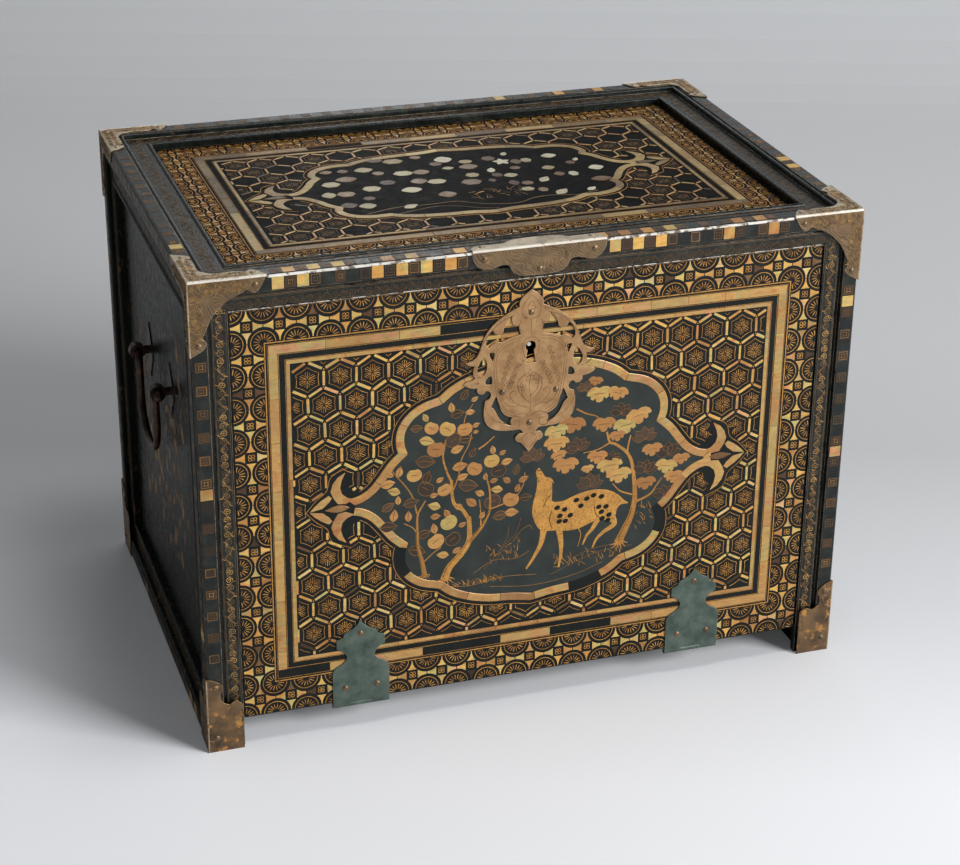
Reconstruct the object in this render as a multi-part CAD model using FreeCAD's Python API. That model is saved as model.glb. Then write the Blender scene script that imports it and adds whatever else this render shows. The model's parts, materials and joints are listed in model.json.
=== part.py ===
import FreeCAD, Part
import os
from math import asin, cos, pi, sin

# A small fall-front cabinet: a boarded carcass with framed faces, a door that
# falls forward on two leaf hinges, a nest of nine drawers behind it, gilt mounts
# and a bail handle on each side.
# Millimetres. X runs to the right, Y to the back and Z up. The origin is on the
# floor, under the middle of the cabinet.

# Wooden body
WIDTH = 460.0
DEPTH = 315.0
HEIGHT = 341.0
BOARD = 12.0
BACK_BOARD = 10.0
BOTTOM_BOARD = 14.0
FOOT_HEIGHT = 20.0

# Frames on the outer faces
RELIEF = 8.0
FRAME_WIDTH = 32.0
RIM_WIDTH = 11.0
RIM_ROUND = 1.8
BAND_LEVEL = 4.0
BEAD_RADIUS = 1.5
BEAD_GROOVE = 0.7
STILE_WIDTH = 25.0
RAIL_WIDTH = 22.0
GROOVE_WIDTH = 3.0
GROOVE_LEVEL = 3.7
STRIP_LEVEL = 5.2

# Door
DOOR_THICKNESS = 15.0
DOOR_RECESS = 4.0
DOOR_SIDE_GAP = 0.8
DOOR_TOP_GAP = 1.0
DOOR_BOTTOM_GAP = 0.4
STOP_GAP = 0.2
BOARD_GAP = 0.6

# Drawer nest
LINER = 8.0
NEST_FLOOR = 8.0
SHELF = 8.0
DIVIDER = 8.0
SIDE_COLUMN = 115.0
NEST_INSET = 24.0
DRAWER_GAP = 0.6
DRAWER_REST_GAP = 0.3
DRAWER_BACK_GAP = 2.0
DRAWER_FRONT = 10.0
DRAWER_WALL = 7.0
DRAWER_BOTTOM = 5.0
DRAWER_BACK_DROP = 6.0
KNOB_RADIUS = 4.5
KNOB_REACH = 11.0
KNOB_STEM = 1.8
KNOB_ROSE = 7.0
KNOB_ROSE_THICKNESS = 1.0
KNOB_SHANK = 1.4
SHANK_CLEARANCE = 0.05
LONG_KNOB_OFFSET = 110.0

# Sheet mounts and their nails
SHEET = 0.8
MOUNT_ARM = 50.0
MOUNT_BAND = 10.5
MOUNT_FILL = 19.0
MOUNT_LOW_FILL = 13.5
FOOT_MOUNT_WIDTH = 24.0
FOOT_MOUNT_HEIGHT = 57.0
FOOT_MOUNT_SHOULDER = 34.0
STRIKE_WIDTH = 91.0
STRIKE_DROP = 20.0
STRIKE_WRAP = 14.0
NAIL_HEAD = 2.2
NAIL_HEAD_HEIGHT = 1.0
NAIL_SHANK = 0.7
NAIL_LENGTH = 5.0
NAIL_CLEARANCE = 0.05

# Hinges
HINGE_OFFSET = 122.5
HINGE_LEAF_WIDTH = 40.0
HINGE_LEAF_HEIGHT = 67.0
HINGE_SHEET = 1.2
CARCASS_LEAF_LENGTH = 45.0
KNUCKLE_RADIUS = 2.2
PIN_RADIUS = 1.1
PIN_CLEARANCE = 0.05
MIDDLE_KNUCKLE = 15.0
KNUCKLE_GAP = 0.25
KNUCKLE_ROOM = 0.4

# Lock
LOCK_OFFSET = -4.0
LOCK_PLATE_WIDTH = 92.0
LOCK_PLATE_HEIGHT = 117.0
LOCK_PLATE_TOP = 31.0
LOCK_PLATE_SHEET = 1.4
KEYHOLE_DROP = 71.0
KEYHOLE_RADIUS = 3.6
KEYHOLE_LENGTH = 12.0
KEYHOLE_FOOT = 7.4
DRILL_PIN_RADIUS = 1.4
DRILL_PIN_RECESS = 2.0
LOCK_CASE_WIDTH = 60.0
LOCK_CASE_HEIGHT = 62.0
LOCK_CASE_DEPTH = 9.0
LOCK_CASE_TOP_GAP = 2.0
LOCK_BACK_PLATE = 1.5
KEY_ROOM_RADIUS = 12.5
BOLT_FOOT = 8.0
BOLT_WIDTH = 12.0
BOLT_THICKNESS = 4.0
BOLT_TRAVEL = 9.0
BOLT_CLEARANCE = 0.2
BOLT_TOP_RECESS = 0.5
MORTISE_ROOM = 1.0

# Bail handles
HANDLE_HEIGHT = 216.0
POST_SPACING = 75.0
POST_RADIUS = 3.0
POST_REACH = 9.0
POST_DEPTH = 9.0
EYE_RADIUS = 5.6
EYE_THICKNESS = 6.0
BACKPLATE_WIDTH = 19.0
BACKPLATE_HEIGHT = 42.0
BAIL_RADIUS = 2.6
BAIL_CLEARANCE = 0.08
BAIL_DROP = 54.0
BAIL_LEG_GAP = 5.0
BAIL_FLAT = 8.0
BAIL_EYE_BEND = 4.5
BAIL_BALL = 3.7
BAIL_BALL_GAP = 0.6

# Places worked out from the sizes above
HALF_WIDTH = WIDTH / 2
HALF_DEPTH = DEPTH / 2
PANEL_X = HALF_WIDTH - RELIEF
PANEL_Y = HALF_DEPTH - RELIEF
PANEL_Z = HEIGHT - RELIEF
INNER_X = PANEL_X - BOARD
INNER_BACK = PANEL_Y - BACK_BOARD
CEILING = PANEL_Z - BOARD
DOOR_HALF = HALF_WIDTH - STILE_WIDTH - DOOR_SIDE_GAP
DOOR_FRONT = -HALF_DEPTH + DOOR_RECESS
DOOR_BACK = DOOR_FRONT + DOOR_THICKNESS
DOOR_BOTTOM = FOOT_HEIGHT + DOOR_BOTTOM_GAP
DOOR_TOP = HEIGHT - RAIL_WIDTH - DOOR_TOP_GAP
PIVOT_Y = DOOR_FRONT - HINGE_SHEET + KNUCKLE_RADIUS
PIVOT_Z = FOOT_HEIGHT - KNUCKLE_RADIUS
FLOOR_TOP = FOOT_HEIGHT + BOTTOM_BOARD
NEST_BOTTOM = FLOOR_TOP + NEST_FLOOR
NEST_HALF = INNER_X - LINER
NEST_FRONT = DOOR_BACK + NEST_INSET
NEST_TOP = min(CEILING, HEIGHT - RAIL_WIDTH)
ROW_HEIGHT = (NEST_TOP - NEST_BOTTOM - 3 * SHELF) / 4
COLUMN_EDGE = NEST_HALF - SIDE_COLUMN
KEYHOLE_Z = HEIGHT - KEYHOLE_DROP
BOLT_Y = DOOR_BACK + (LOCK_CASE_DEPTH - LOCK_BACK_PLATE) / 2
LOCK_CASE_TOP = DOOR_TOP - LOCK_CASE_TOP_GAP
BOLT_TOP = LOCK_CASE_TOP - BOLT_TOP_RECESS
BOLT_BOTTOM = KEYHOLE_Z + BOLT_FOOT
EYE_X = PANEL_X + SHEET + POST_REACH

X = FreeCAD.Vector(1, 0, 0)
Y = FreeCAD.Vector(0, 1, 0)
Z = FreeCAD.Vector(0, 0, 1)


def vec(x, y, z):
    """Point or direction."""
    return FreeCAD.Vector(x, y, z)


def box(x, y, z):
    """Block between the low and high value on each axis."""
    corner = vec(x[0], y[0], z[0])
    return Part.makeBox(x[1] - x[0], y[1] - y[0], z[1] - z[0], corner)


def rod(radius, start, direction, length):
    """Round bar from a start point."""
    return Part.makeCylinder(radius, length, start, direction)


def mirrored(shape):
    """The same piece on the other side of the cabinet."""
    return shape.mirror(vec(0, 0, 0), X)


def both_sides(shape):
    """A piece and its mirror image, as two solids."""
    return [shape, mirrored(shape)]


def save(name, shapes):
    """Write one node, from one or more solids."""
    solids = shapes if isinstance(shapes, list) else [shapes]
    whole = solids[0] if len(solids) == 1 else Part.makeCompound(solids)
    whole.exportStep("parts/" + name + ".step")


# Frame mouldings


def rim_start(square):
    """Outer edge of a frame's section, up to the flat of the rim."""
    crown = vec(0, RIM_ROUND, RELIEF)
    centre = vec(0, RIM_ROUND, RELIEF - RIM_ROUND)
    turn = pi if square else 0.75 * pi
    middle = (turn + pi / 2) / 2
    first = centre + vec(0, cos(turn), sin(turn)) * RIM_ROUND
    halfway = centre + vec(0, cos(middle), sin(middle)) * RIM_ROUND
    foot = vec(0, 0, 0) if square else vec(0, RELIEF, 0)
    return foot, [Part.makeLine(foot, first), Part.Arc(first, halfway, crown).toShape()], crown


def half_round(start, level):
    """Bead across a section, from its near foot to its far foot."""
    top = vec(0, start + BEAD_RADIUS, level + BEAD_RADIUS)
    low = vec(0, start, level)
    far = vec(0, start + 2 * BEAD_RADIUS, level)
    return low, Part.Arc(low, top, far).toShape(), far


def lines(points):
    """Straight edges through points."""
    return [Part.makeLine(a, b) for a, b in zip(points, points[1:])]


def panel_section(square):
    """Section of the frame round a panel: rim, bead, sunk band and inner bead."""
    foot, edges, crown = rim_start(square)
    near_low, near_bead, near_far = half_round(RIM_WIDTH + BEAD_GROOVE, RELIEF - BEAD_RADIUS)
    inner_low, inner_bead, inner_far = half_round(FRAME_WIDTH - 2 * BEAD_RADIUS, BAND_LEVEL)
    rim_edge = vec(0, RIM_WIDTH, RELIEF)
    rim_foot = vec(0, RIM_WIDTH, RELIEF - BEAD_RADIUS)
    band_edge = vec(0, RIM_WIDTH + BEAD_GROOVE + 2 * BEAD_RADIUS, BAND_LEVEL)
    edges += lines([crown, rim_edge, rim_foot, near_low])
    edges.append(near_bead)
    edges += lines([near_far, band_edge, inner_low])
    edges.append(inner_bead)
    edges += lines([inner_far, vec(0, FRAME_WIDTH, 0), foot])
    return Part.Face(Part.Wire(edges))


def front_section(width):
    """Section of the frame round the door: rim, groove and flat strip."""
    foot, edges, crown = rim_start(False)
    strip_edge = RIM_WIDTH + GROOVE_WIDTH
    corners = [
        crown,
        vec(0, RIM_WIDTH, RELIEF),
        vec(0, RIM_WIDTH, GROOVE_LEVEL),
        vec(0, strip_edge, GROOVE_LEVEL),
        vec(0, strip_edge, STRIP_LEVEL),
        vec(0, width, STRIP_LEVEL),
        vec(0, width, 0),
        foot,
    ]
    edges += lines(corners)
    return Part.Face(Part.Wire(edges))


def strip(section, length, width, start_mitre, end_mitre, start_bevel=RELIEF):
    """Moulding along local X, mitred in its face and bevelled to the neighbouring faces."""
    bar = section.extrude(X * length)
    corners = [
        vec(0, 0, 0),
        vec(length, 0, 0),
        vec(length - end_mitre, width, 0),
        vec(start_mitre, width, 0),
        vec(0, 0, 0),
    ]
    mitres = Part.Face(Part.makePolygon(corners)).extrude(Z * RELIEF)
    edges = [
        vec(start_bevel, 0, 0),
        vec(0, 0, RELIEF),
        vec(length, 0, RELIEF),
        vec(length - RELIEF, 0, 0),
        vec(start_bevel, 0, 0),
    ]
    bevels = Part.Face(Part.makePolygon(edges)).extrude(Y * width)
    return bar.common(mitres).common(bevels)


def laid(shape, corner, along, normal):
    """Turn a moulding from its local axes onto a face of the cabinet."""
    inward = normal.cross(along)
    base = corner - normal * RELIEF
    rows = []
    for pick in ("x", "y", "z"):
        rows += [getattr(axis, pick) for axis in (along, inward, normal, base)]
    placed = shape.copy()
    placed.Placement = FreeCAD.Placement(FreeCAD.Matrix(*rows, 0, 0, 0, 1))
    return placed


def panel_frame(corner, right, up, across, rise, on_floor):
    """Four mitred mouldings round one face, counted from its lower left corner."""
    normal = right.cross(up)
    far = corner + right * across
    top = far + up * rise
    runs = [
        (corner, right, across, on_floor),
        (far, up, rise, False),
        (top, right * -1, across, False),
        (corner + up * rise, up * -1, rise, False),
    ]
    pieces = []
    for start, along, length, square in runs:
        bar = strip(panel_section(square), length, FRAME_WIDTH, FRAME_WIDTH, FRAME_WIDTH)
        pieces.append(laid(bar, start, along, normal))
    return pieces


def front_frame():
    """Two stiles that reach the floor and the rail over the door."""
    normal = Y * -1
    stile = strip(front_section(STILE_WIDTH), HEIGHT, STILE_WIDTH, 0, RAIL_WIDTH, start_bevel=0)
    rail = strip(front_section(RAIL_WIDTH), WIDTH, RAIL_WIDTH, STILE_WIDTH, STILE_WIDTH)
    right = laid(stile, vec(HALF_WIDTH, -HALF_DEPTH, 0), Z, normal)
    over = laid(rail, vec(HALF_WIDTH, -HALF_DEPTH, HEIGHT), X * -1, normal)
    return [right, over, mirrored(right)]


def frames():
    """The frame of each face, by node name."""
    low_left = vec(-HALF_WIDTH, HALF_DEPTH, 0)
    low_right = vec(HALF_WIDTH, -HALF_DEPTH, 0)
    back_start = vec(HALF_WIDTH, HALF_DEPTH, 0)
    top_start = vec(-HALF_WIDTH, -HALF_DEPTH, HEIGHT)
    return {
        "left_frame": panel_frame(low_left, Y * -1, Z, DEPTH, HEIGHT, True),
        "right_frame": panel_frame(low_right, Y, Z, DEPTH, HEIGHT, True),
        "back_frame": panel_frame(back_start, X * -1, Z, WIDTH, HEIGHT, True),
        "top_frame": panel_frame(top_start, X, Y, WIDTH, DEPTH, False),
        "front_frame": front_frame(),
    }


# Carcass boards


def side_board():
    """Left side board, with the sockets of the handle posts."""
    board = box((-PANEL_X, -INNER_X), (-PANEL_Y, PANEL_Y), (0, CEILING))
    for y in post_places():
        socket_start = vec(-PANEL_X, y, HANDLE_HEIGHT)
        board = board.cut(rod(POST_RADIUS + SHANK_CLEARANCE, socket_start, X, POST_DEPTH))
    return board


def top_board():
    """Top board, with the mortise that takes the lock bolt."""
    board = box((-PANEL_X, PANEL_X), (-PANEL_Y, PANEL_Y), (CEILING, PANEL_Z))
    half_width = BOLT_WIDTH / 2 + MORTISE_ROOM
    half_thickness = BOLT_THICKNESS / 2 + MORTISE_ROOM
    mortise = box(
        (LOCK_OFFSET - half_width, LOCK_OFFSET + half_width),
        (BOLT_Y - half_thickness, BOLT_Y + half_thickness),
        (CEILING, BOLT_TOP + BOLT_TRAVEL + MORTISE_ROOM),
    )
    return board.cut(mortise)


def back_board():
    """Back board, between the side boards."""
    return box((-INNER_X, INNER_X), (INNER_BACK, PANEL_Y), (0, CEILING))


def bottom_board():
    """Bottom board, held up between the side boards."""
    depth = (DOOR_BACK + BOARD_GAP, INNER_BACK)
    return box((-INNER_X, INNER_X), depth, (FOOT_HEIGHT, FLOOR_TOP))


# Drawer nest


def liner():
    """Left liner board, whose front edge stops the door."""
    return box((-INNER_X, -NEST_HALF), (DOOR_BACK + STOP_GAP, INNER_BACK), (FLOOR_TOP, CEILING))


def nest_floor():
    """Board under the lowest drawer."""
    return box((-NEST_HALF, NEST_HALF), (NEST_FRONT, INNER_BACK), (FLOOR_TOP, NEST_BOTTOM))


def row_bottom(row):
    """Height of the foot of a row of drawers, counted from below."""
    return NEST_BOTTOM + row * (ROW_HEIGHT + SHELF)


def shelf(row, left, right):
    """Board under a row, between two X values."""
    top = row_bottom(row)
    return box((left, right), (NEST_FRONT, INNER_BACK), (top - SHELF, top))


def divider(bottom, top):
    """Upright board at the left of the middle column."""
    return box((-COLUMN_EDGE, -COLUMN_EDGE + DIVIDER), (NEST_FRONT, INNER_BACK), (bottom, top))


def nest():
    """Liners, floor, shelves and dividers, by node name."""
    middle_top = row_bottom(3) - SHELF
    return {
        "left_liner": liner(),
        "right_liner": mirrored(liner()),
        "nest_floor": nest_floor(),
        "lower_shelf": shelf(1, -NEST_HALF, NEST_HALF),
        "upper_shelf": shelf(3, -NEST_HALF, NEST_HALF),
        "middle_shelves": both_sides(shelf(2, -NEST_HALF, -COLUMN_EDGE)),
        "column_dividers": both_sides(divider(row_bottom(1), middle_top)),
        "top_dividers": both_sides(divider(row_bottom(3), CEILING)),
    }


def drawer_places():
    """Each drawer's compartment as X and Z spans and its knobs' X places."""
    side = (-NEST_HALF, -COLUMN_EDGE)
    other = (COLUMN_EDGE, NEST_HALF)
    middle = (-COLUMN_EDGE + DIVIDER, COLUMN_EDGE - DIVIDER)
    rows = [(row_bottom(row), row_bottom(row) + ROW_HEIGHT) for row in range(4)]
    tall = (rows[1][0], rows[2][1])
    side_knob = (side[0] + side[1]) / 2
    return {
        "drawer_bottom": ((-NEST_HALF, NEST_HALF), rows[0], [-LONG_KNOB_OFFSET, LONG_KNOB_OFFSET]),
        "drawer_low_left": (side, rows[1], [side_knob]),
        "drawer_low_right": (other, rows[1], [-side_knob]),
        "drawer_centre": (middle, tall, [0]),
        "drawer_high_left": (side, rows[2], [side_knob]),
        "drawer_high_right": (other, rows[2], [-side_knob]),
        "drawer_top_left": (side, rows[3], [side_knob]),
        "drawer_top_middle": (middle, rows[3], [0]),
        "drawer_top_right": (other, rows[3], [-side_knob]),
    }


def drawer(span, rise, knobs):
    """Front, two sides, back and bottom of one drawer, as five solids."""
    left = span[0] + DRAWER_GAP
    right = span[1] - DRAWER_GAP
    low = rise[0] + DRAWER_REST_GAP
    high = rise[1] - DRAWER_GAP
    walls_front = NEST_FRONT + DRAWER_FRONT
    rear = INNER_BACK - DRAWER_BACK_GAP
    front = box((left, right), (NEST_FRONT, walls_front), (low, high))
    for x in knobs:
        hole = vec(x, NEST_FRONT, (low + high) / 2)
        front = front.cut(rod(KNOB_SHANK + SHANK_CLEARANCE, hole, Y, DRAWER_FRONT))
    inner_left = left + DRAWER_WALL
    inner_right = right - DRAWER_WALL
    sides = [
        box((left, inner_left), (walls_front, rear), (low, high - DRAWER_BACK_DROP)),
        box((inner_right, right), (walls_front, rear), (low, high - DRAWER_BACK_DROP)),
    ]
    across = (inner_left, inner_right)
    back = box(across, (rear - DRAWER_WALL, rear), (low, high - DRAWER_BACK_DROP))
    floor = box(across, (walls_front, rear - DRAWER_WALL), (low, low + DRAWER_BOTTOM))
    return [front, *sides, back, floor]


def knob(x, z):
    """Turned knob with its rose, and a shank that goes through the drawer's front."""
    rose = rod(KNOB_ROSE, vec(x, NEST_FRONT, z), Y * -1, KNOB_ROSE_THICKNESS)
    stem = rod(KNOB_STEM, vec(x, NEST_FRONT, z), Y * -1, KNOB_REACH - KNOB_RADIUS)
    ball = Part.makeSphere(KNOB_RADIUS, vec(x, NEST_FRONT - KNOB_REACH + KNOB_RADIUS, z))
    shank = rod(KNOB_SHANK, vec(x, NEST_FRONT, z), Y, DRAWER_FRONT)
    return rose.fuse([stem, ball, shank])


def drawers():
    """Drawer boxes and knobs, by node name."""
    nodes = {}
    for name, (span, rise, knobs) in drawer_places().items():
        nodes[name] = drawer(span, rise, knobs)
        middle = (rise[0] + DRAWER_REST_GAP + rise[1] - DRAWER_GAP) / 2
        nodes[name.replace("drawer", "knob")] = [knob(x, middle) for x in knobs]
    return nodes


# Cut sheet and nails


def outline(runs, origin, along, up):
    """Closed wire from runs of points: two points give a line, more give a curve."""
    edges = []
    for run in runs:
        points = [origin + along * a + up * b for a, b in run]
        if len(points) == 2:
            edges.append(Part.makeLine(*points))
        else:
            curve = Part.BSplineCurve()
            curve.interpolate(points)
            edges.append(curve.toShape())
    return Part.Wire(edges)


def sheet(runs, origin, along, up, normal, thickness):
    """Plate with a cut outline, standing off its face by its thickness."""
    return Part.Face(outline(runs, origin, along, up)).extrude(normal * thickness)


def mirror_runs(runs):
    """The left half of an outline whose right half runs down from the top."""
    return [[(-a, b) for a, b in reversed(run)] for run in reversed(runs)]


def scaled(runs, width, height):
    """An outline given in shares of its width and height."""
    return [[(a * width, b * height) for a, b in run] for run in runs]


def nail(place, normal):
    """Round-headed nail seated on a face, with its shank in the wood."""
    crown = vec(0, 0, NAIL_HEAD_HEIGHT)
    brim = vec(NAIL_HEAD, 0, 0)
    curve = (NAIL_HEAD**2 + NAIL_HEAD_HEIGHT**2) / (2 * NAIL_HEAD_HEIGHT)
    half_turn = asin(NAIL_HEAD / curve) / 2
    middle = vec(curve * sin(half_turn), 0, curve * (cos(half_turn) - 1) + NAIL_HEAD_HEIGHT)
    tip = vec(0, 0, -NAIL_LENGTH)
    edges = lines([crown, tip, tip + X * NAIL_SHANK, X * NAIL_SHANK, brim])
    edges.append(Part.Arc(brim, middle, crown).toShape())
    turned = Part.Face(Part.Wire(edges)).revolve(vec(0, 0, 0), Z, 360)
    turned.Placement = FreeCAD.Placement(place, FreeCAD.Rotation(Z, normal))
    return turned


def pierced(plate, nails):
    """A plate with a hole for each of its nails."""
    for place, normal in nails:
        hole = rod(NAIL_SHANK + NAIL_CLEARANCE, place, normal * -1, NAIL_LENGTH)
        plate = plate.cut(hole)
    return plate


# Corner mounts and strike plate


def wing(fill):
    """Bracket outline at a corner: two arms along the edges and a filled angle."""
    arm = MOUNT_ARM
    band = MOUNT_BAND
    lobe = [(arm, 0), (arm - 0.35 * band, 0.62 * band), (arm - 0.72 * band, 0.98 * band),
            (arm - 1.15 * band, 0.72 * band)]
    sweep = [lobe[-1], (arm - 1.7 * band, 0.98 * band), (fill + 0.5 * band, 0.75 * fill), (fill, fill)]
    turned_sweep = [(b, a) for a, b in reversed(sweep)]
    turned_lobe = [(b, a) for a, b in reversed(lobe)]
    closing = [
        [(0, arm), (-SHEET, arm)],
        [(-SHEET, arm), (-SHEET, -SHEET)],
        [(-SHEET, -SHEET), (arm, -SHEET)],
        [(arm, -SHEET), (arm, 0)],
    ]
    return [lobe, sweep, turned_sweep, turned_lobe, *closing]


def wing_nails(origin, along, up, normal):
    """One nail in the lobe of each arm."""
    reach = MOUNT_ARM - 0.7 * MOUNT_BAND
    inset = MOUNT_BAND / 2
    face = origin + normal * SHEET
    return [(face + along * reach + up * inset, normal), (face + along * inset + up * reach, normal)]


def top_mount(y_sign):
    """Left top corner mount with wings on three faces, and its nails."""
    origin = vec(-HALF_WIDTH, y_sign * HALF_DEPTH, HEIGHT)
    inward = Y * -y_sign
    faces = [(X, Z * -1, Y * y_sign), (inward, Z * -1, X * -1), (X, inward, Z)]
    fills = [MOUNT_FILL, MOUNT_LOW_FILL, MOUNT_LOW_FILL]
    wings = [sheet(wing(fill), origin, a, b, n, SHEET) for fill, (a, b, n) in zip(fills, faces)]
    nails = [place for a, b, n in faces for place in wing_nails(origin, a, b, n)]
    return pierced(wings[0].fuse(wings[1:]).removeSplitter(), nails), nails


def foot_wing():
    """Outline of a foot mount: a shouldered plate with a lobed upper arm."""
    wide = FOOT_MOUNT_WIDTH
    tall = FOOT_MOUNT_HEIGHT
    shoulder = FOOT_MOUNT_SHOULDER
    band = MOUNT_BAND
    return [
        [(-SHEET, 0), (wide, 0)],
        [(wide, 0), (wide, shoulder)],
        [(wide, shoulder), (0.8 * wide, shoulder + 0.3 * band), (0.62 * wide, shoulder + 0.15 * band)],
        [(0.62 * wide, shoulder + 0.15 * band), (0.4 * wide, shoulder + 0.5 * band),
         (0.38 * wide, tall - 1.1 * band)],
        [(0.38 * wide, tall - 1.1 * band), (band, tall - 0.65 * band), (0.55 * band, tall - 0.2 * band),
         (0, tall)],
        [(0, tall), (-SHEET, tall)],
        [(-SHEET, tall), (-SHEET, 0)],
    ]


def foot_mount(y_sign):
    """Left foot mount with wings on two faces, and its nails."""
    origin = vec(-HALF_WIDTH, y_sign * HALF_DEPTH, 0)
    faces = [(X, Y * y_sign), (Y * -y_sign, X * -1)]
    wings = [sheet(foot_wing(), origin, a, Z, n, SHEET) for a, n in faces]
    nails = []
    for along, normal in faces:
        face = origin + normal * SHEET + along * (MOUNT_BAND / 2)
        for height in (MOUNT_BAND, FOOT_MOUNT_HEIGHT - 0.7 * MOUNT_BAND):
            nails.append((face + Z * height, normal))
    return pierced(wings[0].fuse(wings[1]).removeSplitter(), nails), nails


# Right half of the strike plate, in shares of its half width and its drop or wrap.
STRIKE_FRONT_HALF = [
    [(0, -1), (0.24, -0.97), (0.38, -0.86), (0.44, -0.64)],
    [(0.44, -0.64), (0.54, -0.52), (0.66, -0.58), (0.84, -0.62), (0.96, -0.42), (1, 0)],
]
STRIKE_TOP_HALF = [
    [(1, 0), (0.97, 0.42), (0.82, 0.6), (0.62, 0.56), (0.46, 0.66)],
    [(0.46, 0.66), (0.38, 0.84), (0.22, 0.97), (0, 1)],
]


def strike_plate():
    """Plate bent over the top front edge, and its nails."""
    half = STRIKE_WIDTH / 2
    origin = vec(0, -HALF_DEPTH, HEIGHT)
    front_half = scaled(STRIKE_FRONT_HALF, half, STRIKE_DROP)
    front_half.append([(half, 0), (half, SHEET)])
    across = [[(half, SHEET), (-half, SHEET)]]
    front = sheet(front_half + across + mirror_runs(front_half), origin, X, Z, Y * -1, SHEET)
    top_half = scaled(STRIKE_TOP_HALF, half, STRIKE_WRAP)
    top_half.insert(0, [(half, -SHEET), (half, 0)])
    along_edge = [[(-half, -SHEET), (half, -SHEET)]]
    top = sheet(top_half + mirror_runs(top_half) + along_edge, origin, X, Y, Z, SHEET)
    end = half - 0.75 * MOUNT_BAND
    drop = 0.55 * MOUNT_BAND
    face = origin + Y * -SHEET
    lid = origin + Z * SHEET
    nails = [(face + X * x - Z * drop, Y * -1) for x in (-end, end)]
    nails.append((face - Z * (STRIKE_DROP - 0.4 * MOUNT_BAND), Y * -1))
    nails += [(lid + X * x + Y * drop, Z) for x in (-end, end)]
    return pierced(front.fuse(top).removeSplitter(), nails), nails


def mounts():
    """Sheet mounts on the carcass and all their nails, by node name."""
    nodes = {}
    places = []
    for name, maker in (("top", top_mount), ("foot", foot_mount)):
        for end, sign in (("front", -1), ("back", 1)):
            plate, nails = maker(sign)
            nodes["corner_mounts_" + name + "_" + end] = both_sides(plate)
            pieces = [nail(*place) for place in nails]
            places += pieces + [mirrored(piece) for piece in pieces]
    nodes["strike_plate"], strike_nails = strike_plate()
    places += [nail(*place) for place in strike_nails]
    places += [nail(*place) for place in carcass_leaf_nails()]
    nodes["mount_nails"] = places
    return nodes


# Hinges

# Right half of the hinge leaf, in shares of its half width and its height.
LEAF_HALF = [
    [(0, 1), (0.1, 0.93), (0.34, 0.87), (0.56, 0.84)],
    [(0.56, 0.84), (0.62, 0.79)],
    [(0.62, 0.79), (0.84, 0.77)],
    [(0.84, 0.77), (0.85, 0.67)],
    [(0.85, 0.67), (0.62, 0.63), (0.49, 0.56), (0.6, 0.5), (0.88, 0.45), (1, 0.38)],
    [(1, 0.38), (1, 0)],
]

# Nails of a hinge leaf, in the same shares.
LEAF_NAIL_PLACES = [(0, 0.82), (-0.56, 0.2), (0.56, 0.2)]


def leaf_nails(x):
    """Nails of one door leaf: one in its head and two at its foot."""
    face = vec(x, DOOR_FRONT - HINGE_SHEET, PIVOT_Z)
    half = HINGE_LEAF_WIDTH / 2
    return [(face + X * (a * half) + Z * (b * HINGE_LEAF_HEIGHT), Y * -1) for a, b in LEAF_NAIL_PLACES]


def knuckle(x, length):
    """Part of a hinge barrel, round the pin."""
    start = vec(x - length / 2, PIVOT_Y, PIVOT_Z)
    return rod(KNUCKLE_RADIUS, start, X, length)


def pin_hole(x, length):
    """Bore of a knuckle."""
    start = vec(x - length / 2, PIVOT_Y, PIVOT_Z)
    return rod(PIN_RADIUS + PIN_CLEARANCE, start, X, length)


def door_leaf(x):
    """Ornamental leaf on the door's face, with the two outer knuckles."""
    half = scaled(LEAF_HALF, HINGE_LEAF_WIDTH / 2, HINGE_LEAF_HEIGHT)
    foot = [[(HINGE_LEAF_WIDTH / 2, 0), (-HINGE_LEAF_WIDTH / 2, 0)]]
    origin = vec(x, DOOR_FRONT, PIVOT_Z)
    plate = sheet(half + foot + mirror_runs(half), origin, X, Z, Y * -1, HINGE_SHEET)
    plate = pierced(plate, leaf_nails(x))
    gap = MIDDLE_KNUCKLE / 2 + KNUCKLE_GAP
    outer = HINGE_LEAF_WIDTH / 2 - gap
    room = KNUCKLE_RADIUS + KNUCKLE_ROOM
    notch = box((x - gap, x + gap), (PIVOT_Y - room, PIVOT_Y + room), (PIVOT_Z - room, PIVOT_Z + room))
    barrels = [knuckle(x + side * (gap + outer / 2), outer) for side in (-1, 1)]
    leaf = plate.cut(notch).fuse(barrels)
    return leaf.cut(pin_hole(x, HINGE_LEAF_WIDTH)).removeSplitter()


def carcass_leaf_nails():
    """Two nails up through each carcass leaf."""
    y = DOOR_BACK + CARCASS_LEAF_LENGTH / 2
    spread = HINGE_LEAF_WIDTH / 4
    level = FOOT_HEIGHT - HINGE_SHEET
    places = [side * HINGE_OFFSET + step for side in (-1, 1) for step in (-spread, spread)]
    return [(vec(x, y, level), Z * -1) for x in places]


def carcass_leaf(x):
    """Plain leaf under the bottom board, with the middle knuckle."""
    level = (FOOT_HEIGHT - HINGE_SHEET, FOOT_HEIGHT)
    half = HINGE_LEAF_WIDTH / 2
    neck_half = MIDDLE_KNUCKLE / 2
    board_edge = DOOR_BACK + BOARD_GAP
    wide = box((x - half, x + half), (board_edge, DOOR_BACK + CARCASS_LEAF_LENGTH), level)
    neck = box((x - neck_half, x + neck_half), (PIVOT_Y, board_edge), level)
    own_nails = [place for place in carcass_leaf_nails() if abs(place[0].x - x) < half]
    leaf = pierced(wide, own_nails).fuse([neck, knuckle(x, MIDDLE_KNUCKLE)])
    return leaf.cut(pin_hole(x, MIDDLE_KNUCKLE)).removeSplitter()


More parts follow.
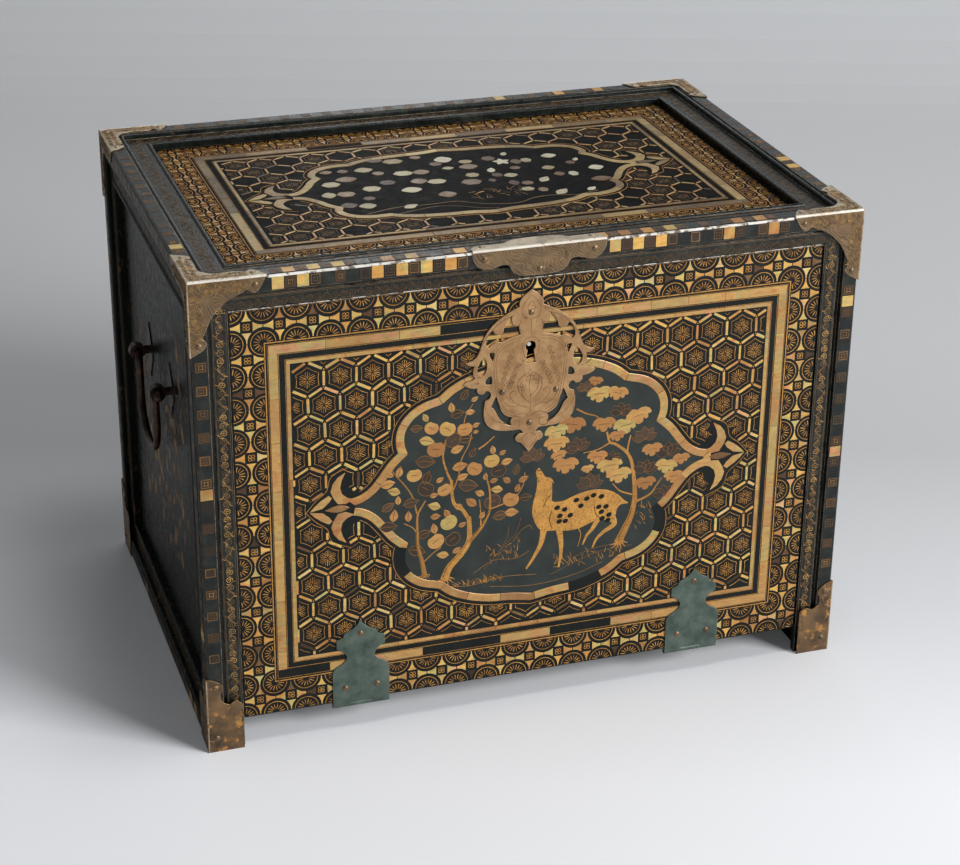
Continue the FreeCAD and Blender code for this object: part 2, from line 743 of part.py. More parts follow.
def hinge_pin(x):
    """Pin through the three knuckles."""
    start = vec(x - HINGE_LEAF_WIDTH / 2, PIVOT_Y, PIVOT_Z)
    return rod(PIN_RADIUS, start, X, HINGE_LEAF_WIDTH)


def hinges():
    """Leaves and pins of both hinges, by node name."""
    nodes = {}
    for side, x in (("left", -HINGE_OFFSET), ("right", HINGE_OFFSET)):
        nodes[side + "_door_leaf"] = door_leaf(x)
        nodes[side + "_carcass_leaf"] = carcass_leaf(x)
        nodes[side + "_hinge_pin"] = hinge_pin(x)
    return nodes


# Door and lock


def keyhole(depth_start, depth):
    """Round hole with a slot that widens downwards, cut from front to back."""
    centre = vec(LOCK_OFFSET, depth_start, KEYHOLE_Z)
    half_top = KEYHOLE_RADIUS / 2
    half_foot = KEYHOLE_FOOT / 2
    corners = [(-half_top, 0), (half_top, 0), (half_foot, -KEYHOLE_LENGTH), (-half_foot, -KEYHOLE_LENGTH)]
    points = [centre + X * a + Z * b for a, b in corners]
    slot = Part.Face(Part.makePolygon(points + points[:1])).extrude(Y * depth)
    return rod(KEYHOLE_RADIUS, centre, Y, depth).fuse(slot)


def door_panel():
    """The fall front, with the keyhole through it."""
    panel = box((-DOOR_HALF, DOOR_HALF), (DOOR_FRONT, DOOR_BACK), (DOOR_BOTTOM, DOOR_TOP))
    return panel.cut(keyhole(DOOR_FRONT, DOOR_THICKNESS))


# Right half of the lock plate from its top to its foot, in shares of its half width
# and its height.
LOCK_HALF = [
    [(0, 1), (0.065, 0.983), (0.143, 0.954), (0.18, 0.925), (0.178, 0.904)],
    [(0.178, 0.904), (0.337, 0.874), (0.511, 0.831), (0.63, 0.785), (0.7, 0.739), (0.739, 0.697),
     (0.765, 0.665)],
    [(0.765, 0.665), (0.804, 0.632), (0.874, 0.609), (0.978, 0.6)],
    [(0.978, 0.6), (0.913, 0.581), (0.865, 0.576), (0.83, 0.576)],
    [(0.83, 0.576), (0.861, 0.552), (0.857, 0.521), (0.835, 0.501)],
    [(0.835, 0.501), (0.878, 0.489), (0.935, 0.484), (1, 0.47)],
    [(1, 0.47), (0.939, 0.45), (0.87, 0.441), (0.793, 0.438)],
    [(0.793, 0.438), (0.796, 0.414), (0.748, 0.398), (0.691, 0.402)],
    [(0.691, 0.402), (0.648, 0.414), (0.604, 0.403), (0.591, 0.381), (0.622, 0.362), (0.674, 0.354)],
    [(0.674, 0.354), (0.696, 0.308), (0.693, 0.252), (0.652, 0.205), (0.565, 0.173), (0.446, 0.156),
     (0.293, 0.15), (0.187, 0.15)],
    [(0.187, 0.15), (0.122, 0.142), (0.096, 0.12)],
    [(0.096, 0.12), (0.137, 0.123), (0.191, 0.113), (0.211, 0.094), (0.189, 0.075), (0.135, 0.068)],
    [(0.135, 0.068), (0.1, 0.053), (0.052, 0.027), (0, 0)],
]

# Closed outlines of the holes pierced in its right half, in the same shares.
LOCK_STRAP_HOLE = [
    [(0.287, 0.856), (0.291, 0.829), (0.265, 0.8), (0.191, 0.79)],
    [(0.191, 0.79), (0.174, 0.761), (0.152, 0.737)],
    [(0.152, 0.737), (0.228, 0.728), (0.348, 0.716), (0.452, 0.701)],
    [(0.452, 0.701), (0.537, 0.704), (0.587, 0.692), (0.624, 0.675)],
    [(0.624, 0.675), (0.674, 0.701), (0.657, 0.735), (0.609, 0.768), (0.565, 0.779)],
    [(0.565, 0.779), (0.548, 0.76), (0.498, 0.749), (0.443, 0.754), (0.413, 0.778)],
    [(0.413, 0.778), (0.37, 0.817), (0.287, 0.856)],
]
LOCK_WEB_HOLE = [
    [(0.543, 0.643), (0.587, 0.646), (0.635, 0.643)],
    [(0.635, 0.643), (0.604, 0.615), (0.572, 0.59)],
    [(0.572, 0.59), (0.552, 0.615), (0.543, 0.643)],
]
LOCK_WING_HOLE = [
    [(0.7, 0.624), (0.761, 0.595), (0.796, 0.564), (0.791, 0.533), (0.752, 0.513)],
    [(0.752, 0.513), (0.696, 0.516), (0.661, 0.542), (0.657, 0.581), (0.7, 0.624)],
]
LOCK_BUD_HOLE = [
    [(0.587, 0.504), (0.639, 0.497), (0.67, 0.482), (0.678, 0.468), (0.67, 0.455)],
    [(0.67, 0.455), (0.622, 0.45), (0.578, 0.453)],
    [(0.578, 0.453), (0.576, 0.479), (0.587, 0.504)],
]
LOCK_FOOT_HOLE = [
    [(0.517, 0.376), (0.552, 0.345), (0.587, 0.309)],
    [(0.587, 0.309), (0.522, 0.282), (0.478, 0.244), (0.391, 0.202), (0.261, 0.176)],
    [(0.261, 0.176), (0.287, 0.202), (0.261, 0.231)],
    [(0.261, 0.231), (0.337, 0.241), (0.413, 0.268), (0.457, 0.308), (0.517, 0.376)],
]

# Nails of the lock plate, in the same shares.
LOCK_NAIL_PLACES = [(0, 0.863), (-0.42, 0.395), (0.4, 0.372), (0, 0.184)]


def lock_plate_base():
    """Middle of the lock plate's foot, on the door's face."""
    return vec(LOCK_OFFSET, DOOR_FRONT, HEIGHT - LOCK_PLATE_TOP - LOCK_PLATE_HEIGHT)


def lock_nails():
    """Nails of the lock plate."""
    face = lock_plate_base() - Y * LOCK_PLATE_SHEET
    half = LOCK_PLATE_WIDTH / 2
    return [(face + X * (a * half) + Z * (b * LOCK_PLATE_HEIGHT), Y * -1) for a, b in LOCK_NAIL_PLACES]


def lock_plate():
    """Pierced plate over the lock."""
    base = lock_plate_base()
    half = LOCK_PLATE_WIDTH / 2
    right = scaled(LOCK_HALF, half, LOCK_PLATE_HEIGHT)
    plate = sheet(right + mirror_runs(right), base, X, Z, Y * -1, LOCK_PLATE_SHEET)
    for hole in (LOCK_STRAP_HOLE, LOCK_WEB_HOLE, LOCK_WING_HOLE, LOCK_BUD_HOLE, LOCK_FOOT_HOLE):
        runs = scaled(hole, half, LOCK_PLATE_HEIGHT)
        for side in (X, X * -1):
            plate = plate.cut(sheet(runs, base, side, Z, Y * -1, LOCK_PLATE_SHEET))
    plate = plate.cut(keyhole(DOOR_FRONT - LOCK_PLATE_SHEET, LOCK_PLATE_SHEET))
    return pierced(plate, lock_nails())


def lock_case():
    """Case behind the door, with the key's room and the bolt's channel."""
    half = LOCK_CASE_WIDTH / 2
    case = box(
        (LOCK_OFFSET - half, LOCK_OFFSET + half),
        (DOOR_BACK, DOOR_BACK + LOCK_CASE_DEPTH),
        (LOCK_CASE_TOP - LOCK_CASE_HEIGHT, LOCK_CASE_TOP),
    )
    room_depth = LOCK_CASE_DEPTH - LOCK_BACK_PLATE
    key_room = rod(KEY_ROOM_RADIUS, vec(LOCK_OFFSET, DOOR_BACK, KEYHOLE_Z), Y, room_depth)
    half_width = BOLT_WIDTH / 2 + BOLT_CLEARANCE
    half_thickness = BOLT_THICKNESS / 2 + BOLT_CLEARANCE
    channel = box(
        (LOCK_OFFSET - half_width, LOCK_OFFSET + half_width),
        (BOLT_Y - half_thickness, BOLT_Y + half_thickness),
        (KEYHOLE_Z, LOCK_CASE_TOP),
    )
    return case.cut(key_room.fuse(channel))


def lock_bolt():
    """Bolt in its channel, drawn down."""
    half_width = BOLT_WIDTH / 2
    half_thickness = BOLT_THICKNESS / 2
    return box(
        (LOCK_OFFSET - half_width, LOCK_OFFSET + half_width),
        (BOLT_Y - half_thickness, BOLT_Y + half_thickness),
        (BOLT_BOTTOM, BOLT_TOP),
    )


def drill_pin():
    """Pin on the case's back plate that the key's pipe goes over."""
    start = vec(LOCK_OFFSET, DOOR_BACK + LOCK_CASE_DEPTH - LOCK_BACK_PLATE, KEYHOLE_Z)
    length = LOCK_CASE_DEPTH - LOCK_BACK_PLATE + DOOR_THICKNESS - DRILL_PIN_RECESS
    return rod(DRILL_PIN_RADIUS, start, Y * -1, length)


def door_nails():
    """Nails of the lock plate and the door leaves."""
    places = lock_nails() + leaf_nails(-HINGE_OFFSET) + leaf_nails(HINGE_OFFSET)
    return [nail(*place) for place in places]


# Bail handles


def post_places():
    """Y of the two posts on a side."""
    return (-POST_SPACING / 2, POST_SPACING / 2)


def handle_post(y):
    """Left eye post: a shank in the side board, and an eye for the bail."""
    eye = vec(-EYE_X, y - EYE_THICKNESS / 2, HANDLE_HEIGHT)
    root = vec(-PANEL_X + POST_DEPTH, y, HANDLE_HEIGHT)
    shank = rod(POST_RADIUS, root, X * -1, POST_DEPTH + SHEET + POST_REACH)
    ring = rod(EYE_RADIUS, eye, Y, EYE_THICKNESS)
    hole = rod(BAIL_RADIUS + BAIL_CLEARANCE, eye, Y, EYE_THICKNESS)
    return shank.fuse(ring).cut(hole)


# Right half of a backplate from its top point to its foot, in shares of its half
# width and half height.
BACKPLATE_HALF = [
    [(0, 1), (0.12, 0.78), (0.42, 0.62)],
    [(0.42, 0.62), (0.62, 0.42), (1, 0.28)],
    [(1, 0.28), (1.04, 0), (1, -0.28)],
    [(1, -0.28), (0.62, -0.42), (0.42, -0.62)],
    [(0.42, -0.62), (0.12, -0.78), (0, -1)],
]


def backplate(y):
    """Left backplate under an eye post."""
    right = scaled(BACKPLATE_HALF, BACKPLATE_WIDTH / 2, BACKPLATE_HEIGHT / 2)
    origin = vec(-PANEL_X, y, HANDLE_HEIGHT)
    plate = sheet(right + mirror_runs(right), origin, Y, Z, X * -1, SHEET)
    return plate.cut(rod(POST_RADIUS + SHANK_CLEARANCE, origin, X * -1, SHEET))


def bent_path(points, bends):
    """Wire of straight runs, with a round bend at each inner point."""
    edges = []
    start = points[0]
    for before, corner, after, bend in zip(points, points[1:], points[2:], bends):
        into = (before - corner).normalize()
        out = (after - corner).normalize()
        half_turn = (pi - into.getAngle(out)) / 2
        reach = bend * sin(half_turn) / cos(half_turn)
        first = corner + into * reach
        last = corner + out * reach
        inside = (into + out).normalize()
        middle = corner + inside * (bend / cos(half_turn) - bend)
        edges.append(Part.makeLine(start, first))
        edges.append(Part.Arc(first, middle, last).toShape())
        start = last
    edges.append(Part.makeLine(start, points[-1]))
    return Part.Wire(edges)


def bail():
    """Left bail, hanging from its two eyes, with a ball at each end."""
    eye_inner = (POST_SPACING - EYE_THICKNESS) / 2
    eye_outer = (POST_SPACING + EYE_THICKNESS) / 2
    ball_y = eye_outer + BAIL_BALL_GAP + BAIL_BALL
    leg_y = eye_inner - BAIL_LEG_GAP
    foot_bend = leg_y - BAIL_FLAT / 2
    half = [(-ball_y, 0), (-leg_y, 0), (-leg_y, -BAIL_DROP)]
    flat = half + [(-y, z) for y, z in reversed(half)]
    points = [vec(-EYE_X, y, HANDLE_HEIGHT + z) for y, z in flat]
    path = bent_path(points, [BAIL_EYE_BEND, foot_bend, foot_bend, BAIL_EYE_BEND])
    section = Part.Wire(Part.makeCircle(BAIL_RADIUS, points[0], Y))
    rail = path.makePipeShell([section], True, False)
    balls = [Part.makeSphere(BAIL_BALL, points[0]), Part.makeSphere(BAIL_BALL, points[-1])]
    return rail.fuse(balls)


def handles():
    """Posts, backplates and bails, by node name."""
    posts = [handle_post(y) for y in post_places()]
    plates = [backplate(y) for y in post_places()]
    hanging = bail()
    return {
        "left_handle_posts": posts,
        "right_handle_posts": [mirrored(post) for post in posts],
        "left_backplates": plates,
        "right_backplates": [mirrored(plate) for plate in plates],
        "left_bail": hanging,
        "right_bail": mirrored(hanging),
    }


def boards():
    """Carcass boards, by node name."""
    return {
        "left_side_board": side_board(),
        "right_side_board": mirrored(side_board()),
        "top_board": top_board(),
        "back_board": back_board(),
        "bottom_board": bottom_board(),
    }


def door():
    """Door, lock and the nails on the door, by node name."""
    return {
        "door_panel": door_panel(),
        "lock_plate": lock_plate(),
        "lock_case": lock_case(),
        "lock_bolt": lock_bolt(),
        "drill_pin": drill_pin(),
        "door_nails": door_nails(),
    }


def main():
    """Build every node and write it."""
    os.makedirs("parts", exist_ok=True)
    for group in (boards, frames, nest, drawers, mounts, hinges, door, handles):
        for name, shapes in group().items():
            save(name, shapes)


if __name__ == "__main__":
    main()
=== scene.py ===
import json
import logging
from dataclasses import dataclass, field
from enum import Enum
from functools import cache
from itertools import product
from math import pi
from typing import Any, Sequence

import bpy
import numpy as np
from mathutils import Matrix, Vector
from numpy.random import Generator as Rng, default_rng


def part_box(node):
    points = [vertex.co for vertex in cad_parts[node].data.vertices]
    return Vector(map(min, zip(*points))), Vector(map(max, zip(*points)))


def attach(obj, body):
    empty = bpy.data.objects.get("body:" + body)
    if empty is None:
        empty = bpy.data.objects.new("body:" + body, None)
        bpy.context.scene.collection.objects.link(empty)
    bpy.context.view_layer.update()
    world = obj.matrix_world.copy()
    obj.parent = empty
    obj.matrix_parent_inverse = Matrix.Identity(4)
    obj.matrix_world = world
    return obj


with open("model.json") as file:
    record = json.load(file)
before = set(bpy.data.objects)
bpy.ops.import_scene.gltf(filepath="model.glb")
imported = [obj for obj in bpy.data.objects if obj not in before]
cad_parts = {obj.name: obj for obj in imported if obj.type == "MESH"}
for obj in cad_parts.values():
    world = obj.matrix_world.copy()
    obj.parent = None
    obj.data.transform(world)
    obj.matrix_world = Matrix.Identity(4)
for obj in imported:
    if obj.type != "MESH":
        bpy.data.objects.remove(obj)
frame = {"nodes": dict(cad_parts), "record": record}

LOG = logging.getLogger("cabinet")
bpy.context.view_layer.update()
MM = 0.001
# In millimetres: room on both sides of the keyhole, and heights of gold lines and of shell pieces.
KEY_ROOM = 8.0
GOLD_HIGH = 0.1
SHELL_HIGH = 0.16

Array = np.ndarray
Pair = tuple[float, float]
Vec = tuple[float, float, float]
Colour = tuple[int, int, int]
Stop = tuple[float, Colour]
EVEN: Vec = (1.0, 1.0, 1.0)
# Corners of a square about the origin, counted from its lower left.
CORNERS = ((-1, -1), (1, -1), (1, 1), (-1, 1))


# Finishes


def linear(colour: Colour) -> tuple[float, float, float, float]:
    """Scene value of a colour written in screen values.

    Args:
        colour: red, green and blue, 0 to 255.

    Returns:
        Red, green, blue and alpha for a shader socket.
    """
    share = np.array(colour) / 255.0
    flat = np.where(share <= 0.04045, share / 12.92, ((share + 0.055) / 1.055) ** 2.4)
    return (*map(float, flat), 1.0)


class Recipe:
    """Node tree of one finish, built up in small steps."""

    def __init__(self, name: str) -> None:
        """Start a tree with a shader and its output.

        Args:
            name: name of the material.
        """
        self.material = bpy.data.materials.new(name)
        self.material.use_nodes = True
        self.tree = self.material.node_tree
        self.tree.nodes.clear()
        self.shader = self.node("ShaderNodeBsdfPrincipled")
        output = self.node("ShaderNodeOutputMaterial")
        self.tree.links.new(self.shader.outputs[0], output.inputs[0])
        self.place = self.node("ShaderNodeTexCoord").outputs["Object"]

    def feed(self, socket: Any, value: Any) -> None:
        """Link a socket to a node's output, or set its value.

        Args:
            socket: socket of a node.
            value: output of another node, or a plain value.
        """
        if isinstance(value, bpy.types.NodeSocket):
            self.tree.links.new(value, socket)
        else:
            socket.default_value = value

    def node(self, kind: str, settings: dict[str, Any] | None = None, **inputs: Any) -> Any:
        """Add a node.

        Args:
            kind: Blender's name of the node.
            settings: its properties.
            inputs: its sockets by name, with a low line for each space.

        Returns:
            The node.
        """
        made = self.tree.nodes.new(kind)
        for key, value in (settings or {}).items():
            setattr(made, key, value)
        for key, value in inputs.items():
            self.feed(made.inputs[key.replace("_", " ")], value)
        return made

    def shade(self) -> Any:
        """Shade of each inlaid piece, from 0 to 1."""
        return self.node("ShaderNodeAttribute", {"attribute_name": "shade"}).outputs["Fac"]

    def noise(self, scale: float, detail: float = 3.0, stretch: Vec = EVEN) -> Any:
        """Cloud of spots.

        Args:
            scale: spots in a metre.
            detail: steps of finer spots.
            stretch: how it is drawn out along each axis.

        Returns:
            Output from 0 to 1.
        """
        place = self.place
        if stretch != EVEN:
            place = self.node("ShaderNodeMapping", Vector=self.place, Scale=stretch).outputs[0]
        cloud = self.node("ShaderNodeTexNoise", Vector=place, Scale=scale, Detail=detail, Roughness=0.6)
        return cloud.outputs[0]

    def ramp(self, factor: Any, stops: Sequence[Stop]) -> Any:
        """Colour picked along a row of stops.

        Args:
            factor: place along the row.
            stops: places and colours in order.

        Returns:
            Output with the colour.
        """
        made = self.node("ShaderNodeValToRGB", Fac=factor)
        elements = made.color_ramp.elements
        for element, (place, colour) in zip(elements, (stops[0], stops[-1])):
            element.position = place
            element.color = linear(colour)
        for place, colour in stops[1:-1]:
            elements.new(place).color = linear(colour)
        return made.outputs[0]

    def blend(self, factor: Any, first: Any, second: Any) -> Any:
        """Mix of two colours.

        Args:
            factor: share of the second.
            first: colour or output.
            second: colour or output.

        Returns:
            Output with the mix.
        """
        made = self.node("ShaderNodeMix", {"data_type": "RGBA"})
        for place, value in ((0, factor), (6, first), (7, second)):
            self.feed(made.inputs[place], value)
        return made.outputs[2]

    def level(self, value: Any, low: float, high: float, bottom: float = 0.0, top: float = 1.0) -> Any:
        """Value between two levels, spread over another range."""
        made = self.node("ShaderNodeMapRange", Value=value, From_Min=low, From_Max=high, To_Min=bottom, To_Max=top)
        return made.outputs[0]

    def times(self, first: Any, second: Any) -> Any:
        """Product of two values.

        Args:
            first: value or output.
            second: value or output.

        Returns:
            Output with the product.
        """
        made = self.node("ShaderNodeMath", {"operation": "MULTIPLY"})
        for place, value in enumerate((first, second)):
            self.feed(made.inputs[place], value)
        return made.outputs[0]

    def normal(self) -> Any:
        """Normal of the surface."""
        return self.node("ShaderNodeNewGeometry").outputs["Normal"]

    def edges(self, radius: float) -> tuple[Any, Any]:
        """Normal rounded over sharp edges, and how far it leans from the flat one.

        Args:
            radius: radius in millimetres.

        Returns:
            Outputs with the normal and the lean.
        """
        rounded = self.node("ShaderNodeBevel", {"samples": 6}, Radius=radius * MM).outputs[0]
        lean = self.node("ShaderNodeVectorMath", {"operation": "DOT_PRODUCT"})
        self.feed(lean.inputs[0], rounded)
        self.feed(lean.inputs[1], self.normal())
        return rounded, self.level(lean.outputs["Value"], 0.97, 0.8)

    def bump(self, height: Any, depth: float, strength: float, normal: Any = None) -> None:
        """Raise the surface.

        Args:
            height: output that raises it.
            depth: greatest height in millimetres.
            strength: share that shows.
            normal: normal to start from.
        """
        made = self.node("ShaderNodeBump", Strength=strength, Distance=depth * MM, Height=height)
        if normal:
            self.feed(made.inputs["Normal"], normal)
        self.feed(self.shader.inputs["Normal"], made.outputs[0])

    def set(self, **inputs: Any) -> None:
        """Set or link the shader's own sockets."""
        for key, value in inputs.items():
            self.feed(self.shader.inputs[key.replace("_", " ")], value)


@dataclass(frozen=True)
class Surface:
    """Finish of cloudy tones under wear; its edges and upward faces turn paler as rubbed wear and painted light."""

    name: str
    tones: tuple[Stop, ...]  # colours of the cloud, from its lows to its highs
    cloud: float  # spots of the cloud in a metre
    wear: Colour  # colour of the worn patches
    wear_from: float  # level of the wear cloud where a patch begins
    wear_scale: float  # spots of the wear cloud in a metre
    slot: str | None = None  # name of a record slot for the finish
    stretch: Vec = EVEN  # how the clouds are drawn out along each axis
    roughness: Pair = (0.3, 0.5)  # least and greatest roughness
    metallic: float = 0.0
    gloss: float = 0.5  # strength of the mirror part
    relief: float = 0.05  # depth of the fine relief in millimetres
    edge: Colour | None = None  # colour of the sharp edges: partly rubbed wear, partly a painted highlight
    rounding: float = 0.6  # distance from an edge that is rounded and painted paler, in millimetres
    chasing: Colour | None = None  # colour of fine swirling lines cut into it
    upward: Colour | None = None  # pale colour on faces that look up: partly rubbed wear, partly a painted sheen
    # Fine waves of the chasing.
    swirl = {"Scale": 210.0, "Distortion": 17.0, "Detail": 1.0, "Detail_Scale": 0.5}

    def material(self) -> bpy.types.Material:
        """Make the material.

        Returns:
            The material.
        """
        recipe = Recipe(self.name)
        tone = recipe.ramp(recipe.noise(self.cloud, 5.0, self.stretch), self.tones)
        patches = recipe.noise(self.wear_scale, 6.0, self.stretch)
        worn = recipe.level(patches, self.wear_from, self.wear_from + 0.07)
        colour = recipe.blend(worn, tone, linear(self.wear))
        if self.chasing:
            waves = recipe.node("ShaderNodeTexWave", {"bands_direction": "DIAGONAL"}, Vector=recipe.place, **self.swirl)
            lines = recipe.level(waves.outputs["Fac"], 0.5, 0.9, 0.0, 0.4)
            colour = recipe.blend(lines, colour, linear(self.chasing))
        # Painted sheen: faces that look up turn paler, partly as rubbed wear and partly as the light they catch.
        if self.upward:
            facing = recipe.node("ShaderNodeSeparateXYZ", Vector=recipe.normal())
            rubbed = recipe.level(recipe.noise(self.wear_scale * 0.5, 5.0), 0.3, 0.62, 0.25, 0.9)
            upward_wear_and_sheen = recipe.times(rubbed, recipe.level(facing.outputs["Z"], 0.7, 0.95))
            colour = recipe.blend(upward_wear_and_sheen, colour, linear(self.upward))
        normal = None
        # Painted highlight: the sharp edges turn paler, partly as rubbed wear.
        if self.edge:
            normal, lean = recipe.edges(self.rounding)
            rubbed = recipe.times(lean, recipe.level(recipe.noise(self.wear_scale * 0.6), 0.36, 0.56))
            colour = recipe.blend(rubbed, colour, linear(self.edge))
        rough = recipe.level(recipe.noise(self.cloud * 3.0), 0.3, 0.7, *self.roughness)
        recipe.set(Base_Color=colour, Roughness=rough, Metallic=self.metallic, Specular_IOR_Level=self.gloss)
        recipe.bump(recipe.noise(self.wear_scale * 3.0, 4.0, self.stretch), self.relief, 0.7, normal)
        return recipe.material


@dataclass(frozen=True)
class Shell:
    """Mother-of-pearl: each piece has its own tone, with a slow change of colour and stains over it."""

    name: str
    tones: tuple[Stop, ...]  # colours picked by a piece's shade
    glints: tuple[Stop, ...]  # colours of the sheen that crosses the pieces
    sheen: float = 0.7  # greatest share of the glints
    gloss: float = 0.3
    vein: Colour = (124, 80, 46)  # colour of the grain
    stain: Colour = (70, 46, 30)
    slot = None

    def material(self) -> bpy.types.Material:
        """Make the material.

        Returns:
            The material.
        """
        recipe = Recipe(self.name)
        shade = recipe.shade()
        tone = recipe.ramp(shade, self.tones)
        glint = recipe.ramp(recipe.noise(75.0, 2.0, (1.0, 1.0, 1.3)), self.glints)
        share = recipe.level(recipe.noise(48.0, 2.0), 0.4, 0.62, 0.0, self.sheen)
        whole = recipe.level(shade, 0.1, 0.35)
        lit = recipe.blend(recipe.times(share, whole), tone, glint)
        grain = recipe.level(recipe.noise(260.0, 5.0, (0.4, 1.0, 1.6)), 0.44, 0.7, 0.0, 0.42)
        veined = recipe.blend(recipe.times(grain, whole), lit, linear(self.vein))
        stain = recipe.level(recipe.noise(520.0, 6.0), 0.62, 0.74, 0.0, 0.8)
        recipe.set(
            Base_Color=recipe.blend(stain, veined, linear(self.stain)),
            Roughness=recipe.level(recipe.noise(300.0), 0.3, 0.7, 0.24, 0.42),
            Metallic=0.12,
            Specular_IOR_Level=self.gloss,
        )
        recipe.bump(recipe.noise(900.0, 4.0, (1.0, 1.0, 0.3)), 0.05, 0.5)
        return recipe.material


@dataclass(frozen=True)
class Gilding:
    """Gold powder in lacquer: bright or rubbed by a piece's shade, and broken by wear."""

    name: str
    tones: tuple[Stop, ...]  # colours picked by a piece's shade
    worn: Colour  # colour where the gold is rubbed off
    wear_from: float = 0.6  # level of the wear cloud where the gold begins to go
    dull: Colour = (118, 77, 39)  # colour of its clouds and its fine stipple
    slot = None

    def material(self) -> bpy.types.Material:
        """Make the material.

        Returns:
            The material.
        """
        recipe = Recipe(self.name)
        tone = recipe.ramp(recipe.shade(), self.tones)
        worn = recipe.level(recipe.noise(420.0, 6.0), self.wear_from, self.wear_from + 0.12, 0.0, 0.85)
        cloud = recipe.level(recipe.noise(120.0, 4.0), 0.35, 0.65, 0.0, 0.4)
        stipple = recipe.level(recipe.noise(720.0, 2.0), 0.5, 0.66, 0.0, 0.6)
        dotted = recipe.blend(stipple, recipe.blend(cloud, tone, linear(self.dull)), linear(self.dull))
        recipe.set(
            Base_Color=recipe.blend(worn, dotted, linear(self.worn)),
            Roughness=recipe.level(recipe.noise(800.0), 0.3, 0.7, 0.35, 0.55),
            Metallic=0.2,
            Specular_IOR_Level=0.25,
        )
        recipe.bump(recipe.noise(1500.0, 3.0), 0.03, 0.6)
        return recipe.material


